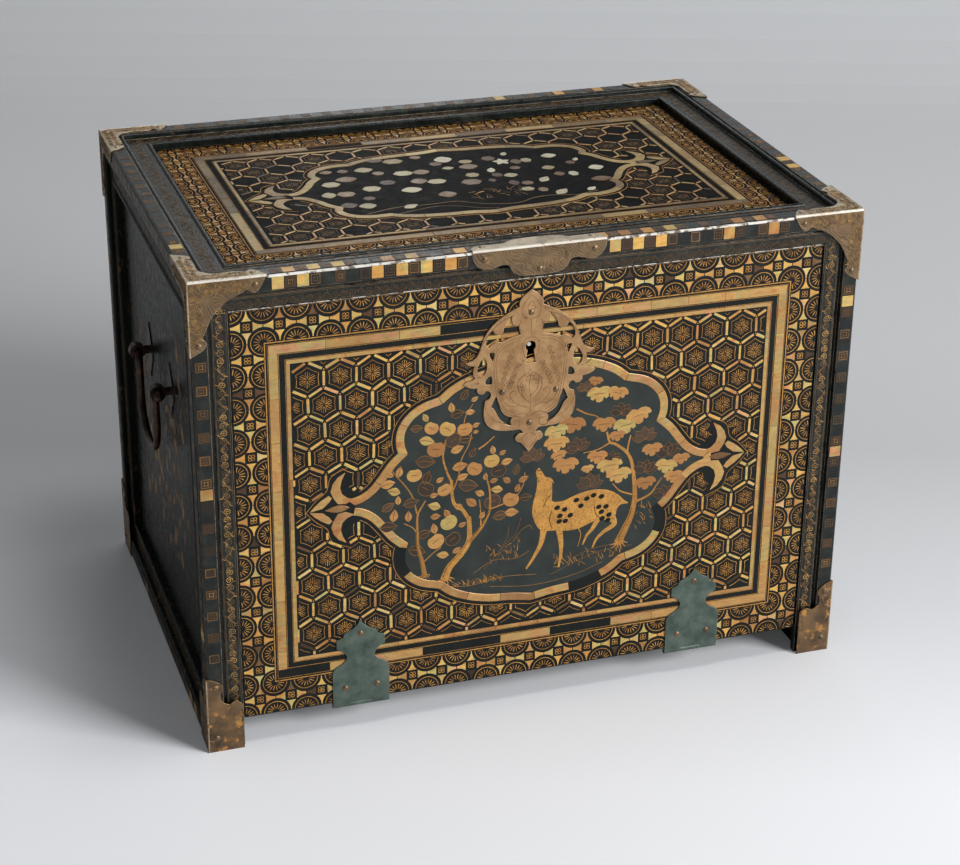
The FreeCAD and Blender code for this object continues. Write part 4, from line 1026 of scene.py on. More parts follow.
@dataclass(kw_only=True)
class Medallion(Pattern):
    """Lobed frame of shell strips, with a pointed finial and two horns at each end."""

    runs: tuple[tuple[Pair, ...], ...]  # strip's middle line in the right upper quarter, from the finial to the top
    strip: float  # width of the strip
    parts: tuple[int, ...] = (2, 2, 3)  # shell pieces in each run
    lost: tuple[int, ...] = ()  # pieces that have fallen out
    shell: Finish = Finish.STRIP_SHELL
    samples: int = 9  # steps along a shell piece
    gap: float = 0.06  # share of a step that stays open at each end of a piece
    tip: float = 122.0  # how far from the middle the outer line runs before the finials begin
    # Finial pieces of the right end, above the middle line.
    head = ((155.5, 0.2), (152.5, 3.6), (148.0, 7.4), (142.6, 10.6), (140.4, 8.6), (142.2, 5.6), (147.0, 1.6))
    horn = ((139.6, 8.8), (141.2, 13.2), (139.6, 18.6), (136.2, 23.0), (131.0, 26.0), (133.6, 20.4), (134.6, 15.2),
            (133.4, 10.6), (129.8, 7.2), (125.4, 5.6), (131.0, 2.9), (136.4, 3.6))
    room = ((159.0, 0.0), (152.0, 8.0), (144.5, 14.5), (141.0, 24.5), (128.5, 30.5), (130.6, 16.0), (124.0, 10.5))

    def quarter(self) -> Array:
        """Middle line of the strip in one quarter, with its runs joined at the cusps."""
        lines = [flow(run, part * self.samples + 1) for run, part in zip(self.runs, self.parts)]
        return np.concatenate([lines[0]] + [line[1:] for line in lines[1:]])

    def loop(self) -> Array:
        """Middle line all round, counted from the right end over the top.

        Returns:
            Points in order.
        """
        upper = self.quarter()
        over = np.concatenate([upper, (upper * [-1, 1])[-2::-1]])
        return np.concatenate([over, -over])

    def edge(self, distance: float) -> Array:
        """Outline at a distance outside the strip's middle line."""
        loop = self.loop()
        return loop - mitres(loop[None], True)[0] * distance

    def covers(self, points: Array, margin: float) -> Array:
        """Whether points lie inside the frame's outer edge or a finial, with a margin.

        Args:
            points: across and up values in the last axis.
            margin: distance kept outside the edge.

        Returns:
            True or False for each point.
        """
        hidden = inside(points, self.edge(self.strip / 2 + margin))
        room = np.array(self.room)
        outline = np.concatenate([room, (room * [1, -1])[:0:-1]])
        for side in (-1, 1):
            hidden |= inside(points, outline * [side, 1])
        return hidden

    def pieces(self) -> tuple[Array, Array]:
        """Left and right edges of the strip's shell pieces, without the lost ones.

        Returns:
            Two arrays, piece by sample by axis.
        """
        loop = self.loop()
        normal = mitres(loop[None], True)[0] * (self.strip / 2)
        number = sum(self.parts)
        quarter_points = len(self.quarter())
        starts = np.concatenate([k * quarter_points - k % 2 + np.arange(number) * self.samples for k in range(4)])
        rows = (starts[:, None] + np.arange(self.samples + 1)) % len(loop)
        rows = rows[~np.isin(np.arange(4 * number), self.lost)]
        left, right = loop[rows] + normal[rows], loop[rows] - normal[rows]
        for edge in (left, right):
            edge[:, 0] += (edge[:, 1] - edge[:, 0]) * self.gap
            edge[:, -1] += (edge[:, -2] - edge[:, -1]) * self.gap
        return left, right

    def build(self) -> None:
        """Build the strip, the finials and the lines along them."""
        shell = self.inlay("_strip", self.shell)
        gold = self.inlay("_outline", Finish.GOLD)
        left, right = self.pieces()
        shell.ribs(left, right, 0.2, shell_shades(self.rng, len(left), 0.0))
        for shape in (self.head, self.horn):
            pieces = mirrored_four(np.array(shape)[None])
            shell.slabs(pieces, 0.2, self.rng.uniform(0.3, 0.75, len(pieces)), 0.04)
        leaf = np.array([(128.5, 0)]) * [[1, 1], [-1, 1]]
        shell.slabs(turned(pointed_leaf(0.3), leaf, np.array([0, pi]), 17.0), 0.3, np.array([0.15, 0.2]))
        outer = self.edge(self.strip / 2 + 2.1)
        upper = outer[: len(outer) // 2]
        clear = upper[np.abs(upper[:, 0]) < self.tip]
        sides = np.stack([clear, clear * [1, -1]])
        gold.strokes(sides, 0.5, GOLD_HIGH, np.array([0.5, 0.6]))
        tips = mirrored_four(flow(self.room[:5], 24)[None] - [0.6, 0.4])
        gold.strokes(tips, 0.45, GOLD_HIGH, 0.5)
        shell.build()
        gold.build()


@dataclass(kw_only=True)
class HexagonField(Pattern):
    """Field of hexagons: shell bars on their sides, and in each a gold hexagon and a six-petalled flower."""

    flat: float  # width of a hexagon between its upright sides
    medallion: Medallion
    bar: Pair = (0.8, 0.108)  # length of a bar as a share of a side, and its width as a share of a flat
    line: float = 0.405  # radius of a gold hexagon as a share of a flat
    petal: float = 0.27  # length of a petal as a share of a flat

    def middles(self) -> Array:
        """Middles of the hexagons: rows a flat times 0.866 apart, each second row shifted by half a flat.

        Returns:
            One point for each hexagon.
        """
        row_step = self.flat * 3**0.5 / 2
        side = self.flat / 3**0.5
        rows = np.arange(-1, int(2 * self.half[1] / row_step) + 2)
        columns = np.arange(-1, int(2 * self.half[0] / self.flat) + 2)
        column, row = np.meshgrid(columns, rows)
        x = -self.half[0] + self.flat * (column + 0.5 + 0.5 * (row % 2))
        y = self.half[1] - side - row * row_step
        return pairs(x.ravel(), y.ravel())

    def open(self, points: Array, inset: float, margin: float) -> Array:
        """Whether points lie in the field and clear of the medallion and the keyhole.

        Args:
            points: across and up values in the last axis.
            inset: distance kept from the field's edge.
            margin: distance kept from the medallion.

        Returns:
            True or False for each point.
        """
        fits = (np.abs(points) < np.array(self.half) - inset).all(-1)
        if self.hole:
            fits &= np.linalg.norm(points - np.array(self.hole), axis=-1) > 2 * KEY_ROOM
        return fits & ~self.medallion.covers(points, margin)

    def bars(self, shell: Inlay, gold: Inlay, middles: Array) -> None:
        """Shell bars on three sides of each hexagon, and a gold dot where they meet.

        Args:
            shell: piece that gathers the bars.
            gold: piece that gathers the dots.
            middles: middles of the hexagons.
        """
        length = self.bar[0] * self.flat / 3**0.5
        bar = pairs(np.full(13, self.flat / 2), np.linspace(-length / 2, length / 2, 13))
        bars = np.concatenate([turned(bar, middles, k * pi / 3 + self.rng.normal(0, 0.02, len(middles)), 1.0)
                               for k in range(3)])
        bars = trimmed(bars, self.open(bars, 0.0, 2.6), 2.0)[:, ::4]
        width = ((self.bar[1] - 0.03 * self.faded) * self.flat * self.rng.uniform(0.85, 1.1, len(bars)))[:, None]
        shell.strokes(bars, width, SHELL_HIGH, shell_shades(self.rng, len(bars)))
        corner = np.array([(0.0, self.flat / 3**0.5)])
        dots = np.concatenate([turned(corner, middles, k * pi / 3, 1.0)[:, 0] for k in range(2)])
        dots = dots[self.open(dots, 1.0, 3.0)]
        gold.slabs(turned(lobed_disc(1, 0, 6), dots, 0.0, 0.5), GOLD_HIGH, self.rng.uniform(0.2, 0.9, len(dots)))

    def hexagon_lines(self, gold: Inlay, middles: Array) -> None:
        """Gold hexagons whose sides bow inwards.

        Args:
            gold: piece that gathers the lines.
            middles: middles of the hexagons.
        """
        angle = np.radians(30 + 60 * np.arange(2))
        ends = polar(self.line * self.flat, angle)
        share = np.linspace(0, 1, 9)[:, None]
        side = (ends[0] * (1 - share) + ends[1] * share) * (1 - 0.24 * share * (1 - share))
        lines = np.concatenate([turned(side, middles, k * pi / 3, 1.0) for k in range(6)])
        lines = trimmed(lines, self.open(lines, 0.5, 2.6), 1.5)[:, ::2]
        gold.strokes(lines, 0.42, GOLD_HIGH, self.rubbed(len(lines)))

    def rubbed(self, number: int) -> Array:
        """Shades of gold lines, lower where the field is faded."""
        return self.rng.uniform(0.2, 1, number) * (1 - self.faded)

    def petals(self, flowers: Inlay, middles: Array) -> None:
        """Six petals in each hexagon, each a vein between two bowed lines that stay open at the tip.

        Args:
            flowers: piece that gathers the lines.
            middles: middles of the hexagons.
        """
        reach = self.petal * self.flat
        vein = np.array([(0.14, 0), (0.5, 0), (1.0, 0)])
        side = np.array([(0.3, 0.05), (0.5, 0.21), (0.74, 0.27), (0.92, 0.2)])
        turns = self.rng.normal(0, 0.06, len(middles))
        for k in range(6):
            angle = pi / 6 + k * pi / 3 + turns
            for shape, width in ((vein, 0.5), (side, 0.4), (side * [1, -1], 0.4)):
                paths = turned(shape * reach, middles, angle, 1.0)
                paths = paths[self.open(paths, 0.4, 2.4).all(1)]
                flowers.strokes(paths, width, GOLD_HIGH, self.rubbed(len(paths)))

    def build(self) -> None:
        """Build the bars, the gold hexagons and the flowers."""
        middles = self.middles()
        middles = middles + self.rng.normal(0, 0.12, middles.shape)
        shell = self.inlay("_bars", self.shell)
        gilding = Finish.FAINT_GOLD if self.faded else Finish.GOLD
        gold, flowers = self.inlay("_lines", gilding), self.inlay("_flowers", gilding)
        self.bars(shell, gold, middles)
        kept = middles[self.rng.random(len(middles)) >= 0.8 * self.faded]
        self.hexagon_lines(gold, kept)
        self.petals(flowers, kept)
        for piece in (shell, gold, flowers):
            piece.build()


@dataclass(kw_only=True)
class StripFrame(Pattern):
    """Rectangular frame of shell strips, whose outline is the strips' middle line."""

    width: float
    length: float  # usual length of a piece
    lost: tuple[tuple[int, float, float], ...] = ()  # stretches without shell, as side number and start and end share
    shell: Finish = Finish.STRIP_SHELL
    joint: float = 0.12  # half of the gap between two pieces

    def clear(self, pieces: Array) -> Array:
        """Pieces cut back to both sides of the keyhole.

        Args:
            pieces: outlines of the pieces.

        Returns:
            The outlines that stay.
        """
        if not self.hole:
            return pieces
        hole = np.array(self.hole)
        hit = ((pieces.min(1) < hole + KEY_ROOM) & (pieces.max(1) > hole - KEY_ROOM)).all(1)
        left, right = pieces[hit].copy(), pieces[hit].copy()
        left[..., 0] = np.minimum(left[..., 0], hole[0] - KEY_ROOM)
        right[..., 0] = np.maximum(right[..., 0], hole[0] + KEY_ROOM)
        parts = np.concatenate([pieces[~hit], left, right])
        return parts[np.ptp(parts[..., 0], axis=1) > 0.5]

    def pieces(self) -> Array:
        """Outlines of the pieces along the four sides: bottom, right, top and left.

        Returns:
            Piece by corner by axis.
        """
        corners = rectangle(*self.half)
        outlines = []
        for side in range(4):
            start, end = corners[side], corners[(side + 1) % 4]
            run = np.linalg.norm(end - start) + self.width
            along = (end - start) / np.linalg.norm(end - start)
            across = np.array([-along[1], along[0]])
            cuts = np.cumsum(np.r_[0, self.rng.uniform(0.7, 1.3, int(2 * run / self.length))]) * self.length
            cuts = np.r_[cuts[cuts < run - 0.5 * self.length], run] - self.width / 2
            if side % 2:
                cuts[[0, -1]] = self.width / 2, run - 1.5 * self.width
            low, high = cuts[:-1] + self.joint, cuts[1:] - self.joint
            share = (low + high) / 2 / (run - self.width)
            gone = np.zeros(len(low), bool)
            for lost_side, begin, finish in self.lost:
                gone |= (lost_side == side) & (share > begin) & (share < finish)
            half = across * (self.width / 2)
            first, last = start + low[:, None] * along, start + high[:, None] * along
            outlines.append(np.stack([first - half, last - half, last + half, first + half], 1)[~gone])
        return np.concatenate(outlines)

    def build(self) -> None:
        """Build the strip's pieces."""
        shell = self.inlay("", self.shell)
        pieces = self.clear(self.pieces())
        shell.slabs(pieces, 0.18, shell_shades(self.rng, len(pieces), 0.0) * (1 - self.faded), 0.02)
        shell.build()


@dataclass(kw_only=True)
class InlaidPanel(Pattern):
    """Panel with a border band, line and strip frames, a hexagon field and a medallion."""

    edge: float  # distance of the border band from the panel's edge
    extra: float = 0.0  # how much farther in the frames lie at the top and bottom than at the sides
    # Distances from the side edge to the band's inner edge, the gold line, the strip's two edges, the thin strip's
    # two edges and the field.
    insets: tuple[float, float, float, float, float, float, float]
    cells: tuple[int, int]
    flat: float
    medallion: Medallion
    lost: tuple[tuple[int, float, float], ...]
    lengths: Pair = (38.0, 36.0)  # usual lengths of the strip's and the thin strip's pieces
    dulled: float = 0.45  # share of the fading that dulls the strips

    def line(self, inset: float) -> tuple[Array, bool]:
        """Path of a line at an inset, and whether it is closed: it stops at both sides of a keyhole.

        Args:
            inset: distance from the side edges.

        Returns:
            The path, and True where it is closed.
        """
        corners = rectangle(*self.within(inset))
        if not self.hole:
            return corners[None], True
        top = corners[2, 1]
        ends = np.array([(self.hole[0] - KEY_ROOM, top), (self.hole[0] + KEY_ROOM, top)])
        return np.concatenate([ends[:1], corners[[3, 0, 1, 2]], ends[1:]])[None], False

    def within(self, inset: float) -> Pair:
        """Half sizes of a rectangle at an inset."""
        return self.half[0] - inset, self.half[1] - inset - self.extra

    def build(self) -> None:
        """Build every pattern of the panel."""
        band, line, strip_out, strip_in, thin_out, thin_in, field = self.insets
        depth = (band - self.edge, band + self.extra - self.edge)
        outer = (self.half[0] - self.edge, self.half[1] - self.edge)
        BorderBand(**self.part("_border", outer), depth=depth, cells=self.cells, shell=self.shell).build()
        lines = self.inlay("_frame_lines", Finish.GOLD)
        thin_lines = ((line, 0.9), (strip_out - 0.5, 0.3), (strip_in + 0.6, 0.4), (thin_out - 0.5, 0.35))
        for inset, width in thin_lines:
            path, closed = self.line(inset)
            lines.strokes(path, width, GOLD_HIGH, 0.7 * (1 - self.faded), closed)
        lines.build()
        look = {"shell": self.medallion.shell, "faded": self.faded * self.dulled, "hole": self.hole}
        strips = (("_strip", strip_out, strip_in, self.lost), ("_thin_strip", thin_out, thin_in, ()))
        for (ending, near, far, lost), length in zip(strips, self.lengths):
            place = self.part(ending, self.within((near + far) / 2))
            StripFrame(**place, **look, width=far - near, length=length, lost=lost).build()
        HexagonField(**self.part("_hexagons", self.within(field)), shell=self.shell, faded=self.faded, hole=self.hole,
                     flat=self.flat, medallion=self.medallion).build()
        self.medallion.build()


# Pictures inside the medallions


@dataclass
class Branch:
    """Trunk or twig: a smooth line that narrows."""

    line: tuple[Pair, ...]  # points from its foot to its tip
    foot: float  # width at the foot
    tip: float  # width at the tip
    samples: int = 14

    def path(self) -> Array:
        """Samples along the line."""
        return flow(self.line, self.samples)

    def widths(self) -> Array:
        """Width at each sample: from foot to tip, with a slight flare at the foot."""
        share = np.linspace(0, 1, self.samples)
        return self.foot + (self.tip - self.foot) * share**0.7


@dataclass(kw_only=True)
class DeerPicture(Pattern):
    """Fruit tree, maple and a spotted deer on a grassy bank, in gold and shell on black.

    Leaves are given by place, turn and length, fruits by place and radius, and maple leaves by place and half
    width, in the order tan, pale and dim.
    """

    medallion: Medallion
    seed: int  # seed of the leaves' and fruits' shades
    trees = tuple(Branch(*row) for row in (
        (((-63, -66), (-59.3, -56.5), (-50.3, -46.8), (-45.4, -38.5), (-45, -29.4), (-45.5, -19.7)), 7.6, 3.8),
        (((-45.4, -22), (-50.3, -13.5), (-55.8, -8.6), (-57.5, -0.3), (-57.9, 9.5)), 3.6, 2.6),
        (((-57.9, 8), (-61.4, 17.1), (-63.8, 27.5), (-62, 40)), 2.4, 1.2),
        (((-57.5, 0), (-53, 12), (-51, 24), (-46, 34), (-44, 42)), 1.6, 0.8),
        (((-45.4, -39.1), (-37.8, -30.8), (-33.6, -23.9), (-30.8, -16.9), (-30.8, -3), (-33.6, 9.5)), 4.2, 1.2),
        (((-31, -16), (-22, -14), (-12, -9), (-7, -1), (-6, 8)), 1.4, 0.7),
        (((-37, -30), (-37, -20), (-38, -8)), 1.3, 0.7),
        (((-76.7, -60), (-78.8, -47.5), (-81.5, -36.4), (-81.8, -25.3), (-81.5, -12.8), (-76, -3)), 4.6, 1.4),
        (((-81.8, -27), (-85, -22), (-91, -18)), 1.2, 0.7),
        (((-82, -12), (-85, 1), (-90.6, 10.9), (-96, 17.8), (-99.6, 24)), 1.5, 0.7),
        (((-77, -49), (-70, -43), (-65, -40)), 1.2, 0.7),
        (((-39, 30), (-34, 33), (-28, 38)), 1.8, 1.0),
        (((-50, 47), (-48, 56), (-43, 64)), 1.0, 0.6),
        (((63.6, -57), (68.5, -46.1), (72.6, -36.4), (74.7, -23.9), (74, -10)), 8.4, 3.8),
        (((74.2, -13), (71.9, 2.5), (67.8, 12.2), (58.8, 19.9), (54.6, 22), (52.5, 30)), 3.8, 1.8),
        (((54.6, 21.3), (46, 17.5), (35.8, 16.4)), 1.6, 0.8),
        (((67.8, 13), (68.6, 19), (69.9, 25)), 1.8, 1.2),
        (((75.4, -26.6), (85.8, -22.5), (90, -16.9), (94.2, -10.7)), 2.6, 1.0),
        (((72.5, -20.5), (63.6, -16.5), (58, -10)), 1.7, 0.8),
        (((30, 50), (37.2, 45.6), (44.2, 42.8), (49, 38)), 1.6, 0.8),
    ))
    leaves = (
        ((-76, 58, 120, 6.9), (-58, 63, 100, 7.6), (-42, 67, 30, 5.6), (-45, 58, 0, 6.9), (-41, 48, 20, 5.6),
         (-41, 43, 10, 4.2), (-54, 32, 20, 9.7), (-29, 28, 100, 6.9), (-22, 25, 30, 5.6), (-101, 20, 150, 6.9),
         (-94, 21, 80, 8.3), (-102, 13, 10, 10.4), (-66, 11, 30, 6.2), (-70, 0, 10, 6.2), (-95, 0, 90, 6.9),
         (-52, 19, 10, 11.1), (-50, 11, 20, 8.3), (-19, 18, 10, 8.3), (-34, 9, 80, 5.6), (-28, 5, 10, 6.2),
         (-19, 4, 140, 6.9), (-7, 3, 20, 7.6), (-38, -3, 150, 7.6), (-11, -3, 70, 6.9), (-98, -11, 80, 9.7),
         (-88, -13, 90, 8.3), (-53, -11, 150, 7.6), (-44, -9, 140, 9.7), (-69, -16, 0, 7.6), (-61, -15, 120, 7.6),
         (-70, -25, 100, 8.3), (-50, -25, 20, 6.2), (-36, -20, 60, 6.2), (-15, -21, -5, 10.4), (-54, -44, 30, 6.9)),
        ((-75, 41, -15, 11.1), (-98, 7, 160, 9.7), (-26, -2, 170, 9), (-70, -8, 160, 9.7), (-64, -46, 170, 9)),
        ((-54, 58, 10, 9.7), (-82, 51, 0, 8.3), (-48, 39, 0, 9.7), (-76, 26, -10, 13.9), (-43, 28, 60, 6.9),
         (-75, 14, 70, 9.7), (-102, -4, 30, 9.7), (-86, -3, 10, 11.1), (-46, 4, -10, 13.9), (-12, 11, 80, 8.3),
         (-5, -11, 0, 8.3), (-102, -19, 0, 12.5), (-77, -28, 20, 9.7), (-23, -22, 10, 11.1), (-82, -40, -20, 12.5),
         (-49, 71, 60, 8.3)),
    )
    fruits = (
        ((-72, 50, 5.3), (-49, 46, 5.6), (-69, 34, 6.7), (-63, 3, 5.3), (-42, 16, 5.8), (-16, -11, 6.2),
         (-69, -35, 6.4)),
        ((-61, 48, 6.1), (-84, 17, 5.6), (-30, 20, 5.8), (-60, -22, 6.4)),
        ((-57, 39, 5.8), (-76, 6, 6.1), (-25, 12, 5.6), (-29, -11, 6.1), (-57, -35, 5.6)),
    )
    maple = (
        ((59, 58, 8.3), (43, 69, 5.6), (27, 39, 10.4), (16, 26, 9.7), (18, 17, 6.2), (50, 36, 9), (75, 39, 10),
         (60, 26, 6.7), (23, 9, 10), (46, 12, 8.1), (62, -4, 10), (39, 4, 5), (86, 12, 8.1), (108, 2, 6.9),
         (103, -11, 8.1), (82, -13, 8.3)),
        ((46, 59, 9.7), (16, 35, 9.2), (66, 33, 10), (55, 4, 10), (97, -2, 8.9)),
        ((36, 66, 6.9), (31, 24, 10), (-1, 21, 9.7), (80, 25, 10), (62, 46, 8.6), (57, 11, 7.2), (41, -5, 10.6),
         (98, 11, 10), (82, 0, 9.7), (96, -21, 8.6)),
    )
    # Deer seen from its side, counted from its muzzle along the back.
    deer = ((3.9, 10.2), (5.6, 7.4), (8.8, 2.5), (12.9, -0.5), (13.6, -10), (14, -16.9), (21.9, -17.9), (30.3, -15),
            (38.6, -13), (46.9, -12.9), (55.3, -14.8), (62.2, -19.1), (66.4, -23.6), (70, -26.8), (64.7, -27.1),
            (61.9, -30.1), (60.3, -36.4), (56.7, -39.4), (49.7, -35.7), (42.8, -37.8), (34.4, -40.8), (25.4, -41.4),
            (17.8, -40), (9.4, -39.1), (4.6, -36.4), (1.1, -29.4), (-0.3, -23.2), (0.4, -15.5), (2.5, -6.5),
            (2.8, 1.1), (1.9, 7))
    legs = tuple(Branch(*row) for row in (
        (((8.6, -37), (6.6, -48.2), (1.8, -57.9), (-3.8, -66.5)), 6.6, 1.9),
        (((19.6, -38.6), (21.3, -50.3), (21.4, -58.6), (20, -69)), 6.4, 1.9),
        (((57.6, -34.4), (60.2, -41.6), (53.2, -46.1), (47.6, -51), (44.6, -57.5)), 6.6, 1.7),
        (((48, -35.5), (44.2, -42.6), (40, -47.5), (37.2, -54.4)), 5.6, 1.6),
        (((33.5, -40), (35.6, -46), (33.8, -55)), 1.0, 0.6),
        (((8.4, 0.8), (11.2, 0.9), (13.4, -0.6), (14.8, -3.2)), 2.6, 0.8),
    ))
    spots = ((17.8, -22.5), (23.3, -24.6), (31.7, -18.7), (39.3, -18.7), (35.1, -23.6), (44.2, -16.9), (50.1, -18.6),
             (19.9, -29.1), (27.5, -29.7), (19.6, -33.3), (24, -33.6), (48.3, -26.4), (53.6, -26.9), (50.4, -30.5),
             (56, -33.6), (51.1, -35.7), (55.3, -37.8))
    folds = (((14, -24), (12.4, -31), (14.6, -38)), ((45, -25), (46.4, -32), (51, -36)),
             ((4.6, 5.4), (5.6, 5), (6.4, 5.2)), ((3.2, 8.4), (4.2, 7.8), (5, 8)), ((13, -12), (10, -15), (8, -20)))
    ground = (((-66, -70), (-45, -73), (-20, -70), (4, -72)), ((14, -74), (34, -66), (52, -61), (74, -60)),
              ((-42, -64), (-28, -56), (-12, -57), (-2, -53)), ((-14, -44), (-8, -36), (-2, -33), (0, -36)),
              ((-30, -76), (0, -80), (30, -77), (52, -70)), ((-26, -58), (-20, -46), (-12, -38), (-8, -26)),
              ((26, -66), (38, -60), (52, -57.5), (66, -58)), ((-34, -62), (-24, -50), (-18, -40), (-17, -32)))

    def kept(self, outlines: Array, margin: float) -> Array:
        """Outlines that lie inside the medallion's strip, with a margin."""
        return outlines[inside(outlines, self.medallion.edge(-self.medallion.strip / 2 - margin)).all(1)]

    def tinted(self, kind: str, shape: Array, table: Sequence, pieces: tuple[Inlay, Inlay, Inlay], high: float,
               petals: Array | None = None) -> None:
        """Lay one kind of leaf or fruit in its three tones.

        The dim ones get a gold outline, and the others a thin dark vein along the first axis.

        Args:
            kind: what they are, for the log and the seed.
            shape: outline with its middle at the origin.
            table: rows of place, turn in degrees and size, for each tone.
            pieces: shell, brown and gold pieces that gather them.
            high: height of the crowns.
            petals: outlines that make up a dim one, if it isn't of the same shape.
        """
        own = default_rng(len(kind) + self.seed)
        middle_line = np.array([(-0.4, 0), (-0.1, 0.03), (0.2, 0), (0.42, 0)])
        shell, brown, gold = pieces
        for rows, (low, top) in zip(table, ((0.05, 0.5), (0.65, 1.0), (0.0, 1.0))):
            values = np.array(rows, float)
            places = values[:, :2], np.radians(values[:, 2]), values[:, 3]
            outlines, vein = turned(shape, *places), turned(middle_line, *places)
            shades = own.uniform(low, top, len(values))
            if rows is table[2] and petals is not None:
                for petal in petals:
                    outlines = turned(petal, *places)
                    brown.slabs(outlines, high * 0.8, shades)
                    gold.strokes(outlines, 0.3, high * 0.9, 0.12, True)
            elif rows is table[2]:
                brown.slabs(outlines, high * 0.8, shades)
                gold.strokes(outlines, 0.34, high * 0.9, 0.25, True)
                gold.strokes(vein, 0.3, high * 1.7, 0.25)
            else:
                shell.slabs(outlines, high, shades)
                brown.strokes(vein, 0.26, high * 2.0, 0.4)
        LOG.info("%s: %d laid", kind, sum(map(len, table)))

    def spun(self, table: Sequence, most: float) -> list[Array]:
        """Rows of place and size, with a turn of up to a number of degrees put in before the size."""
        return [np.insert(np.array(rows, float), 2, self.rng.uniform(-most, most, len(rows)), axis=1) for rows in table]

    def crowns(self, pieces: tuple[Inlay, Inlay, Inlay]) -> None:
        """Leaves and fruits of the fruit tree, and leaves of the maple.

        Args:
            pieces: shell, brown and gold pieces that gather them.
        """
        self.tinted("pointed leaves", pointed_leaf(0.62) - [0.5, 0], self.leaves, pieces, 0.14)
        fruit = lobed_disc(1, 0.05, 18) * [1.0, 0.9]
        fruit[4:6] *= 0.84
        self.tinted("fruits", fruit, self.spun(self.fruits, 35), pieces, 0.17)
        maple = self.spun(self.maple, 14)
        self.tinted("maple leaves", maple_leaf() * [1.0, 1.1], maple, pieces, 0.15, fan_leaf() * [1.0, 0.9])

    def trunks(self, gold: Inlay, dark: Inlay) -> None:
        """Gold trunks and twigs, with a dark line along the thick ones, and roots at their feet.

        Args:
            gold: piece that gathers the wood.
            dark: piece that gathers its lines.
        """
        for branch in self.trees:
            path = branch.path()[None]
            gold.strokes(path, branch.widths(), 0.11, self.rng.uniform(0.3, 0.6))
            if branch.foot > 4:
                off = mitres(path, False) * (branch.widths()[None, :, None] * 0.22)
                dark.strokes((path + off)[:, 1:9], 0.25, 0.3, 0.0)
        for foot, reach in (((-62, -64), 7.0), ((-77, -59), 4.5), ((64, -56), 7.0)):
            root = np.array([(0, 0), (0.55, 0.06), (1.0, -0.04)])
            spread = np.radians([-165, -140, -105, -70, -40, -14])
            paths = turned(root, np.repeat(np.array([foot], float), len(spread), axis=0), spread, reach)
            gold.strokes(paths, np.array([2.2, 1.1, 0.4]), 0.11, 0.5)

    def animal(self, gold: Inlay, dark: Inlay) -> None:
        """Deer: one outline, four legs and an ear in gold, with dark spots and lines.

        Args:
            gold: piece that gathers the body.
            dark: piece that gathers its marks.
        """
        outline = flow(self.deer + self.deer[:1], 125)[:-1]
        gold.slabs(outline[None], 0.24, 0.66, 0.02)
        for leg in self.legs:
            gold.strokes(leg.path()[None], leg.widths(), 0.17, 0.68)
        spots = turned(lobed_disc(1, 0, 10) * [1.15, 0.95], np.array(self.spots, float), 0.3, 1.9)
        dark.slabs(spots, 0.4, 0.0)
        dark.strokes(np.stack([flow(line, 8) for line in self.folds]), 0.45, 0.4, 0.0)

    def bank(self, gold: Inlay) -> None:
        """Ground lines, hills, tufts of grass and low plants.

        Args:
            gold: piece that gathers the lines.
        """
        lines = np.stack([flow(line, 14) for line in self.ground])
        gold.strokes(lines, 0.4, GOLD_HIGH, self.rng.uniform(0.0, 0.4, len(lines)))
        tufts = ((-56, -22, 40, -72, 1.0), (16, 70, 46, -66, 2.4), (-34, -8, 20, -52, 5.0), (76, 92, 22, -38, 7.0))
        roots = np.concatenate([pairs(self.rng.uniform(left, right, number), self.rng.normal(level, spread, number))
                                for left, right, number, level, spread in tufts])
        blade = np.array([(0, 0), (0.5, 0.05), (1.0, 0.25)])
        blades = turned(blade, roots, self.rng.normal(pi / 2, 0.55, len(roots)), self.rng.uniform(2.6, 6.0, len(roots)))
        blades = self.kept(blades, 0.5)
        gold.strokes(blades, np.array([0.6, 0.5, 0.15]), GOLD_HIGH, self.rng.uniform(0.1, 0.7, len(blades)))

    def build(self) -> None:
        """Build the picture."""
        gold = self.inlay("_gold", Finish.GOLD)
        bright = self.inlay("_shell", Finish.LEAF_SHELL)
        brown = self.inlay("_brown", Finish.BROWN)
        dark = self.inlay("_dark", Finish.LACQUER)
        ground = self.inlay("_ground", Finish.GROUND)
        ground.plate(self.medallion.edge(-self.medallion.strip / 2 + 0.2), 0.03)
        self.bank(gold)
        self.trunks(gold, dark)
        self.crowns((bright, brown, gold))
        self.animal(gold, dark)
        for piece in (ground, gold, bright, brown, dark):
            piece.build()


